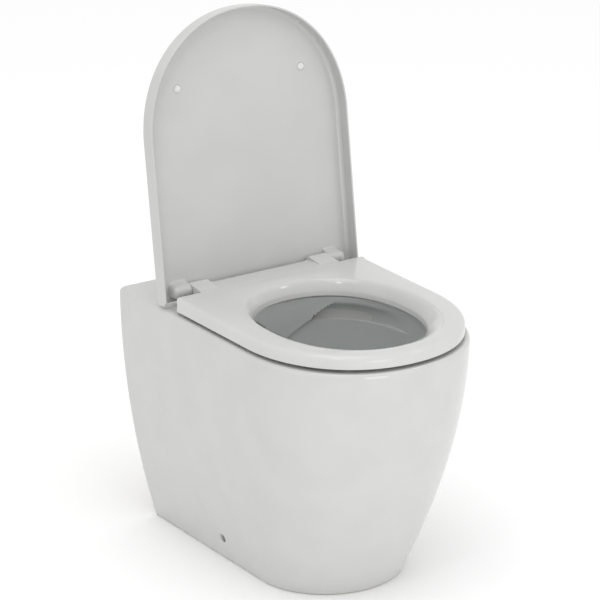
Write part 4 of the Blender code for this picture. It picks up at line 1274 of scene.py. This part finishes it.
def knuckle_section(x, radius, climb):
    """The knuckle and its fairing at one place along the pin."""
    inside_panel = LID_PANEL - 0.0015
    t = np.radians(np.linspace(-90, 62, 24))
    front = np.column_stack([AXIS_UP + radius * np.sin(t), AXIS_AHEAD + radius * np.cos(t)])
    leave = np.array([np.cos(t[-1]), -np.sin(t[-1])])
    settle = np.array([AXIS_UP + radius + climb, LID_PANEL + 0.00005])
    first_pull, last_pull = leave * 0.5 * climb, np.array([0.7 * climb, 0])
    hollow = bezier(front[-1], front[-1] + first_pull, settle - last_pull, settle, 12)
    points = [(AXIS_UP - radius, inside_panel), *front, *hollow[1:], (settle[0], inside_panel)]
    return [lid_point(x, up, forward) for up, forward in points]


for sign in (-1, 1):
    rows = []
    start, end = LID_KNUCKLE_X
    dome = 0.0110
    for share in (0.0, 0.02):
        rows.append((start + share * 0.025, 1 - 0.05 * (share == 0)))
    for x in np.linspace(start + 0.001, end - dome, 6):
        rows.append((x, 1.0))
    for a in np.linspace(0, np.pi / 2, 12)[1:]:
        rows.append((end - dome + dome * np.sin(a), max(np.cos(a) ** 0.6, 0.10)))
    sections = [
        knuckle_section(sign * x, KNUCKLE_RADIUS * size, FAIRING_RISE * size) for x, size in rows
    ]
    join(lid, skin("lid_knuckle", sections, urea_lid_painted_shade))

for sign, cartridge in ((-1, "lid_bush"), (1, "lid_damper")):
    low, high = cartridges[cartridge]
    room = mirrored(sign, SEAT_KNUCKLE_X[0] - 0.0015, LID_KNUCKLE_X[0] + 0.0001)
    far_x = max(abs(low.x), abs(high.x)) + GAP
    bore = mirrored(sign, LID_KNUCKLE_X[0] - 0.001, far_x)
    pin = mirrored(sign, LID_KNUCKLE_X[0] - 0.001, PIN_END_X + 0.0005)
    tools = [
        axis_cylinder("seat_knuckle_room", *room, KNUCKLE_RADIUS + 0.0005),
        axis_cylinder("cartridge_room", *bore, (high.y - low.y) / 2 + GAP),
        axis_cylinder("pin_room", *pin, PIN_RADIUS + GAP),
    ]
    low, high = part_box("lid_buffer_left" if sign < 0 else "lid_buffer_right")
    middle = (low + high) / 2
    up = (middle - LID_REAR).dot(rise)
    at = lid_point(middle.x, up, LID_PANEL)
    room = (high.x - low.x) / 2 + GAP
    soft_mouth = [(-0.0012, room), (-0.0004, room), (0.0, room + 0.0004), (0.003, room + 0.003)]
    tools.append(turned("buffer_room", soft_mouth, at, ahead))
    cut(lid, *tools)
crisp(lid)
stands_for(lid, "lid", "thermoset_white", "lid")
print("finished lid:", len(lid.data.polygons), "faces")

# %% [markdown]
# ## Buffers
#
# Four buffers under the seat and two inside the lid are small rubber domes pressed into shallow
# recesses. They are what keeps the hard mouldings from knocking, so the lid's have a soft round
# tip with a low collar, and the seat's are plain feet with a rounded lower edge.


# %% Seat and lid buffers
def middle_of(node_name):
    low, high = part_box(node_name)
    return (low + high) / 2, (high - low) / 2


for place in ("front_left", "front_right", "rear_left", "rear_right"):
    name = f"seat_buffer_{place}"
    middle, half = middle_of(name)
    radius, height = half.x, 2 * half.z
    rows = [(0.0, 0.0002)]
    rows += [(0.0, radius - 0.0016)]
    for a in np.linspace(0, np.pi / 2, 6)[1:]:
        rows.append((0.0016 * (1 - np.cos(a)), radius - 0.0016 * (1 - np.sin(a))))
    rows += [(height * 0.6, radius), (height, radius)]
    at = (middle.x, middle.y, middle.z - half.z)
    foot = crisp(turned(f"{name}_rubber", rows, at, (0, 0, 1), rubber_grey, 48))
    stands_for(foot, "seat", "rubber_grey", name)

for side in ("left", "right"):
    name = f"lid_buffer_{side}"
    middle, half = middle_of(name)
    up = (middle - LID_REAR).dot(rise)
    radius = half.x
    base = LID_PANEL - 0.0009
    tip = 0.0067 - base
    rows = [(0.0, 0.0002), (0.0, radius), (0.0009, radius), (0.0012, radius - 0.0004)]
    for a in np.linspace(0.15, np.pi / 2, 10):
        share = np.sin(a)
        rows.append((0.0012 + (tip - 0.0012) * share, (radius - 0.0008) * max(np.cos(a), 0.03)))
    at = lid_point(middle.x, up, base)
    dome = crisp(turned(f"{name}_rubber", rows, at, ahead, rubber_grey, 48))
    stands_for(dome, "lid", "rubber_grey", name)
print("buffers: 6")

# %% [markdown]
# ## Inside the knuckles
#
# One knuckle of the seat and one of the lid hold a damper cartridge, and the other two hold a
# plain bush. A steel pin runs through each pair. Dampers are black acetal with a flange and
# grip grooves, bushes are natural acetal, and the pins have chamfered ends so they press in.


# %% Dampers, bushes and pins
def sleeve(name, look, body, slot, grooves):
    """A cartridge round the pin, with shallow grooves along its outside."""
    middle, half = middle_of(name)
    length, radius, hollow = 2 * half.x, half.y, PIN_RADIUS + GAP
    edge = 0.0004
    rows = [(0.0, hollow + edge), (0.0, radius - edge), (edge, radius)]
    pitch = length / (grooves + 1)
    for i in range(grooves):
        at = pitch * (i + 1)
        rows += [(at - 0.0006, radius), (at - 0.0003, radius - edge)]
        rows += [(at + 0.0003, radius - edge), (at + 0.0006, radius)]
    rows += [(length - edge, radius), (length, radius - edge), (length, hollow + edge)]
    rows += [(length - edge, hollow), (edge, hollow)]
    start = (middle.x - half.x, AXIS_Y, AXIS_Z)
    made = crisp(turned_ring(f"{name}_cartridge", rows, start, (1, 0, 0), look, 64))
    stands_for(made, body, slot, name)


sleeve("seat_damper", black_acetal, "seat", "damper_plastic", 5)
sleeve("lid_damper", black_acetal, "lid", "damper_plastic", 4)
sleeve("seat_bush", natural_acetal, "seat", "bush_plastic", 2)
sleeve("lid_bush", natural_acetal, "lid", "bush_plastic", 2)

for side in ("left", "right"):
    name = f"hinge_pin_{side}"
    middle, half = middle_of(name)
    length, radius, edge = 2 * half.x, half.y, 0.0006
    rows = [(0.0, radius - edge), (edge, radius), (length - edge, radius), (length, radius - edge)]
    start = (middle.x - half.x, AXIS_Y, AXIS_Z)
    pin = crisp(turned(f"{name}_steel", rows, start, (1, 0, 0), steel_across, 48))
    stands_for(pin, "hinge_carrier", "stainless_steel", name)
print("cartridges: 4, pins: 2")

# %% [markdown]
# ## Hinge bodies, posts and release buttons
#
# Each hinge body is a nylon block that drops over a steel post. A round lug on its outer side
# carries the pin, and a slot holds the release button, which stands a little proud in front and
# is ribbed so that a wet fingertip finds it.

# %% Hinge bodies and buttons
for side, sign in (("left", -1), ("right", 1)):
    body_low, body_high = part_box(f"hinge_body_{side}")
    post_middle = middle_of(f"hinge_post_{side}")[0]
    bolt_middle, bolt_half = middle_of(f"seat_bolt_{side}")
    button_low, button_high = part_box(f"release_button_{side}")
    block_x = mirrored(sign, min(abs(body_low.x), abs(body_high.x)), LUG_X[1])
    body = block(
        f"hinge_body_{side}_nylon",
        (block_x[0], body_low.y, body_low.z),
        (block_x[1], body_high.y, HINGE_BODY_TOP),
        filled_nylon,
        bevel=0.0015,
        segments=4,
    )
    join(body, axis_cylinder("lug", *mirrored(sign, *LUG_X), LUG_RADIUS, filled_nylon))
    centre = (post_middle.x, post_middle.y, 0.0)
    room_top = bolt_middle.z + bolt_half.z + 2 * GAP
    flare = body_low.z + 0.0010
    room = [(body_low.z - 0.002, POST_RADIUS + 0.0013), (body_low.z, POST_RADIUS + 0.0013)]
    room += [(flare, POST_RADIUS + GAP), (room_top, POST_RADIUS + GAP)]
    slot = [button_low.x - GAP, button_high.x + GAP]
    slot_low = (slot[0], body_low.y - 0.002, button_low.z - GAP)
    slot_high = (slot[1], button_high.y + 0.0022, button_high.z + GAP)
    pin_from = min(abs(corner.x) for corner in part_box(f"hinge_pin_{side}"))
    pin_bore = mirrored(sign, pin_from - GAP, LUG_X[1] + 0.0013)
    cut(
        body,
        turned("post_room", room, centre, (0, 0, 1), filled_nylon),
        axis_cylinder("pin_bore", *pin_bore, PIN_RADIUS + GAP, filled_nylon),
        block("button_slot", slot_low, slot_high, filled_nylon, bevel=0.0004),
    )
    crisp(body)
    stands_for(body, "hinge_carrier", "hinge_plastic", f"hinge_body_{side}")

    button = block(
        f"release_button_{side}_nylon", button_low, button_high, button_nylon, 0.0008, 4
    )
    grooves = []
    for i in range(3):
        z = lerp(button_low.z, button_high.z, (i + 1) / 4)
        low = (button_low.x - 0.001, button_low.y - 0.001, z - 0.00022)
        high = (button_high.x + 0.001, button_low.y + 0.00035, z + 0.00022)
        grooves.append(block("groove", low, high, button_nylon))
    crisp(cut(button, *grooves))
    stands_for(button, f"release_{side}", "button_plastic", f"release_button_{side}")
print("hinge bodies: 2, buttons: 2")

# %% [markdown]
# ## Posts, bolts and what clamps them under the deck
#
# A bolt with a hexagon socket holds each flanged post down on a rubber gasket. Below the deck
# a rubber cone grips the hole, with a washer and a nylon wing nut under it. The thread is drawn
# as rings at its real 1.25 mm pitch: a true helix would look the same at this size and cost far
# more faces.


# %% Fixings of the seat
def ring_between(name, look, body, slot, node, profile, sides=64):
    middle, _ = middle_of(node)
    made = turned_ring(name, profile, (middle.x, middle.y, 0.0), (0, 0, 1), look, sides)
    return stands_for(crisp(made), body, slot, node)


def rounded_ring(low_z, high_z, outer, inner, edge=0.0003):
    """A closed washer-like profile with softened edges."""
    return [
        (low_z, inner),
        (low_z, outer - edge),
        (low_z + edge, outer),
        (high_z - edge, outer),
        (high_z, outer - edge),
        (high_z, inner),
    ]


THREAD_PITCH = 0.00125
THREAD_DEPTH = 0.00045
THREAD_TOP = 0.392
NECK_Z = (0.4080, 0.4110)  # the groove round a post that its release button grips
for side, sign in (("left", -1), ("right", 1)):
    bolt_low, bolt_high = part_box(f"seat_bolt_{side}")
    post_low, post_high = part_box(f"hinge_post_{side}")
    at = ((bolt_low.x + bolt_high.x) / 2, (bolt_low.y + bolt_high.y) / 2, 0.0)
    shank, head_low = BOLT_SHANK, post_high.z + GAP
    rows = [(bolt_low.z, 0.0002), (bolt_low.z, shank - 0.0010)]
    for z in np.arange(bolt_low.z + 0.0010, THREAD_TOP, THREAD_PITCH):
        rows += [(z, shank - THREAD_DEPTH), (z + THREAD_PITCH / 2, shank)]
    rows += [(THREAD_TOP + 0.0015, shank), (head_low, shank), (head_low, 0.0056)]
    rows += [(bolt_high.z - 0.0007, 0.0054), (bolt_high.z, 0.0048), (bolt_high.z, 0.0002)]
    bolt = turned(f"seat_bolt_{side}_steel", rows, at, (0, 0, 1), steel_upright, 40)
    socket = [(post_high.z, 0.0025), (bolt_high.z + 0.001, 0.0025)]
    crisp(cut(bolt, turned("socket", socket, at, (0, 0, 1), steel_upright, 6)))
    stands_for(bolt, "pan", "stainless_steel", f"seat_bolt_{side}")

    hollow, post_r, flange_r = shank + GAP, POST_RADIUS, POST_FLANGE_RADIUS
    flange_top = post_low.z + 0.0014
    soft, neck = 0.0003, post_r - 0.0006
    profile = [(post_low.z, hollow), (post_low.z, flange_r - soft), (post_low.z + soft, flange_r)]
    profile += [(flange_top - soft, flange_r), (flange_top, flange_r - soft)]
    profile += [(flange_top, post_r + soft), (flange_top + soft, post_r)]
    low_z, high_z = NECK_Z
    profile += [(low_z, post_r), (low_z + 0.0005, neck), (high_z - 0.0005, neck), (high_z, post_r)]
    profile += [(post_high.z - 0.0008, post_r), (post_high.z, post_r - 0.0008)]
    profile += [(post_high.z, hollow)]
    node = f"hinge_post_{side}"
    ring_between(f"{node}_steel", steel_upright, "pan", "stainless_steel", node, profile)

    node = f"hinge_gasket_{side}"
    low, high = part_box(node)
    profile = rounded_ring(low.z, high.z, (high.x - low.x) / 2, 0.0055)
    ring_between(f"{node}_rubber", rubber_dark, "pan", "rubber_grey", node, profile)

    node = f"fixing_washer_{side}"
    low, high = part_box(node)
    profile = rounded_ring(low.z, high.z, (high.x - low.x) / 2, hollow)
    ring_between(f"{node}_steel", steel_upright, "pan", "stainless_steel", node, profile)

    node = f"rubber_cone_{side}"
    low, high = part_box(node)
    outer = (high.x - low.x) / 2
    profile = [(low.z, hollow), (low.z, outer - 0.0008), (low.z + 0.0008, outer)]
    for i in range(3):
        z = low.z + 0.0026 + 0.0024 * i
        profile += [(z, outer), (z + 0.0004, outer - 0.0005), (z + 0.0010, outer - 0.0005)]
        profile += [(z + 0.0014, outer)]
    profile += [(high.z - 0.0035, outer), (high.z, outer - 0.0015), (high.z, hollow)]
    ring_between(f"{node}_rubber", rubber_dark, "pan", "rubber_grey", node, profile)

    node = f"wing_nut_{side}"
    low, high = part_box(node)
    boss_low = high.z - 0.012
    rows = [(boss_low, 0.0070), (boss_low + 0.0008, 0.0076), (high.z - 0.0006, 0.0085)]
    rows += [(high.z, 0.0079)]
    nut = turned(f"{node}_nylon", rows, at, (0, 0, 1), natural_nylon, 64)
    for wing in (-1, 1):
        wing_x = sorted((at[0] + wing * 0.0055, low.x if wing < 0 else high.x))
        blade_low = (wing_x[0], at[1] - 0.0016, low.z)
        blade_high = (wing_x[1], at[1] + 0.0016, high.z - 0.003)
        join(nut, block("wing", blade_low, blade_high, natural_nylon, 0.0014, 4))
    through = [(low.z - 0.01, hollow), (high.z + 0.01, hollow)]
    crisp(cut(nut, turned("through", through, at, (0, 0, 1), natural_nylon, 48)))
    stands_for(nut, "pan", "fixing_nylon", node)
print("fixings of the seat: 12")

# %% [markdown]
# ## Floor fixings and the inlet seal
#
# A nylon angle bracket stands on the floor inside each side of the skirt. One screw holds it to
# the floor and one comes in through the side hole; the side screw's cross recess is the only
# fixing seen from outside. The rubber seal in the inlet has three lips that grip the flush pipe.

# %% Brackets, screws and the seal
SCREW_SHANK = 0.0027
CROSS = 0.0007  # half the width of a cross recess's slot
BRACKET_OUTER_X = 0.1085
BRACKET_PLATE = 0.006
BRACKET_EDGE = 0.0012
FLOOR_HEAD_RADIUS = 0.0055
SIDE_HEAD_RADIUS = 0.0058
HEAD_FLAT = 0.0028  # the straight part of a side screw's head
HEAD_CROWN = 0.0014  # its rounded part


def cross_recess(at, axis, size, depth):
    """Two crossed slots, as tools, at the head of a screw."""
    tools = []
    for turn in (0, 90):
        wide, thin = (size, CROSS) if turn == 0 else (CROSS, size)
        if axis[2]:
            low = (at[0] - wide, at[1] - thin, at[2] - depth)
            high = (at[0] + wide, at[1] + thin, at[2] + depth)
        else:
            low = (at[0] - depth, at[1] - wide, at[2] - thin)
            high = (at[0] + depth, at[1] + wide, at[2] + thin)
        tools.append(block("recess", low, high))
    return tools


for side, sign in (("left", -1), ("right", 1)):
    node = f"floor_bracket_{side}"
    low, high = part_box(node)
    screw_middle, _ = middle_of(f"floor_screw_{side}")
    inner_x = min(abs(low.x), abs(high.x))
    outer_x = BRACKET_OUTER_X
    plate_x = mirrored(sign, inner_x, outer_x)
    plate_low, plate_high = (plate_x[0], low.y, 0.0), (plate_x[1], high.y, BRACKET_PLATE)
    bracket = block(f"{node}_nylon", plate_low, plate_high, natural_nylon, BRACKET_EDGE)
    web_x = mirrored(sign, outer_x - 0.008, outer_x)
    web_high = (web_x[1], high.y, high.z)
    join(bracket, block("web", (web_x[0], low.y, 0.001), web_high, natural_nylon, BRACKET_EDGE))
    for y in (low.y + 0.004, high.y - 0.004):
        rib = [(outer_x - 0.030, 0.003), (outer_x - 0.004, 0.003), (outer_x - 0.004, 0.040)]
        rows = [
            [(sign * x, y + half_rib, z) for x, z in rib] for half_rib in (-0.0011, 0.0011)
        ]
        join(bracket, skin("rib", rows, natural_nylon))
    boss = [(0.0, 0.0080), (abs(high.x if sign > 0 else low.x) - outer_x + 0.0035, 0.0080)]
    boss += [(boss[-1][0] + 0.0005, 0.0075)]
    boss_at = (sign * (outer_x - 0.004), SIDE_HOLE_Y, SIDE_HOLE_Z)
    join(bracket, turned("boss", boss, boss_at, (sign, 0, 0), natural_nylon, 48))
    hole = SCREW_SHANK + GAP
    side_at = (sign * (outer_x - 0.012), SIDE_HOLE_Y, SIDE_HOLE_Z)
    floor_at = (screw_middle.x, screw_middle.y, 0.0)
    side_thread, floor_hole = [(0.0, hole), (0.040, hole)], [(-0.002, hole), (0.008, hole)]
    cut(
        bracket,
        turned("side_thread", side_thread, side_at, (sign, 0, 0), natural_nylon, 48),
        turned("floor_hole", floor_hole, floor_at, (0, 0, 1), natural_nylon, 48),
    )
    crisp(bracket)
    stands_for(bracket, "pan", "fixing_nylon", node)

    node = f"floor_screw_{side}"
    low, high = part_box(node)
    seat_z = BRACKET_PLATE + GAP
    rows = [(low.z, 0.0002), (low.z, SCREW_SHANK - 0.0006), (low.z + 0.0006, SCREW_SHANK)]
    rim = seat_z + GAP
    rows += [(seat_z, SCREW_SHANK), (seat_z, FLOOR_HEAD_RADIUS - 0.0002), (rim, FLOOR_HEAD_RADIUS)]
    for a in np.linspace(0.1, np.pi / 2 - 0.1, 8):
        rows.append((rim + (high.z - rim) * np.sin(a), FLOOR_HEAD_RADIUS * np.cos(a)))
    rows += [(high.z, 0.0002)]
    screw = turned(f"{node}_steel", rows, floor_at, (0, 0, 1), steel_upright, 48)
    head = (floor_at[0], floor_at[1], high.z)
    crisp(cut(screw, *cross_recess(head, (0, 0, 1), 0.0026, 0.0014)))
    stands_for(screw, "pan", "stainless_steel", node)

    node = f"side_screw_{side}"
    low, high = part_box(node)
    near, far = sorted((abs(low.x), abs(high.x)))
    head_from = far - HEAD_FLAT - HEAD_CROWN
    rows = [(near, 0.0002), (near + 0.0008, SCREW_SHANK - 0.0006)]
    for x in np.arange(near + 0.0012, head_from - 0.0015, 0.0012):
        rows += [(x, SCREW_SHANK - 0.0005), (x + 0.0006, SCREW_SHANK)]
    rows += [(head_from, SCREW_SHANK), (head_from, 0.0056), (head_from + 0.0002, SIDE_HEAD_RADIUS)]
    rows += [(head_from + HEAD_FLAT, SIDE_HEAD_RADIUS)]
    for a in np.linspace(0, np.pi / 2, 6)[1:]:
        reach = head_from + HEAD_FLAT + HEAD_CROWN * np.sin(a)
        rows.append((reach, SIDE_HEAD_RADIUS - HEAD_CROWN * (1 - np.cos(a))))
    rows += [(far, 0.0002)]
    start = (0.0, SIDE_HOLE_Y, SIDE_HOLE_Z)
    screw = turned(f"{node}_steel", rows, start, (sign, 0, 0), steel_across, 48)
    head = (sign * far, SIDE_HOLE_Y, SIDE_HOLE_Z)
    crisp(cut(screw, *cross_recess(head, (1, 0, 0), 0.0030, 0.0018)))
    stands_for(screw, "pan", "stainless_steel", node)

low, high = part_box("flush_inlet_seal")
outer = (high.x - low.x) / 2
length = high.y - low.y
profile = [(0.0, outer - 0.0050), (0.0, outer - 0.0004), (0.0004, outer), (length, outer)]
profile += [(length, outer - 0.0050)]
for i in range(3):
    start = length - 0.003 - 0.0085 * i
    profile += [(start, outer - 0.0042), (start - 0.0030, outer - 0.0060)]
    profile += [(start - 0.0040, outer - 0.0060), (start - 0.0055, outer - 0.0042)]
at = (0.0, high.y, (low.z + high.z) / 2)
seal = crisp(turned_ring("flush_inlet_seal_rubber", profile, at, (0, -1, 0), rubber_dark, 96))
stands_for(seal, "pan", "rubber_grey", "flush_inlet_seal")
print("floor fixings: 6, seal: 1")
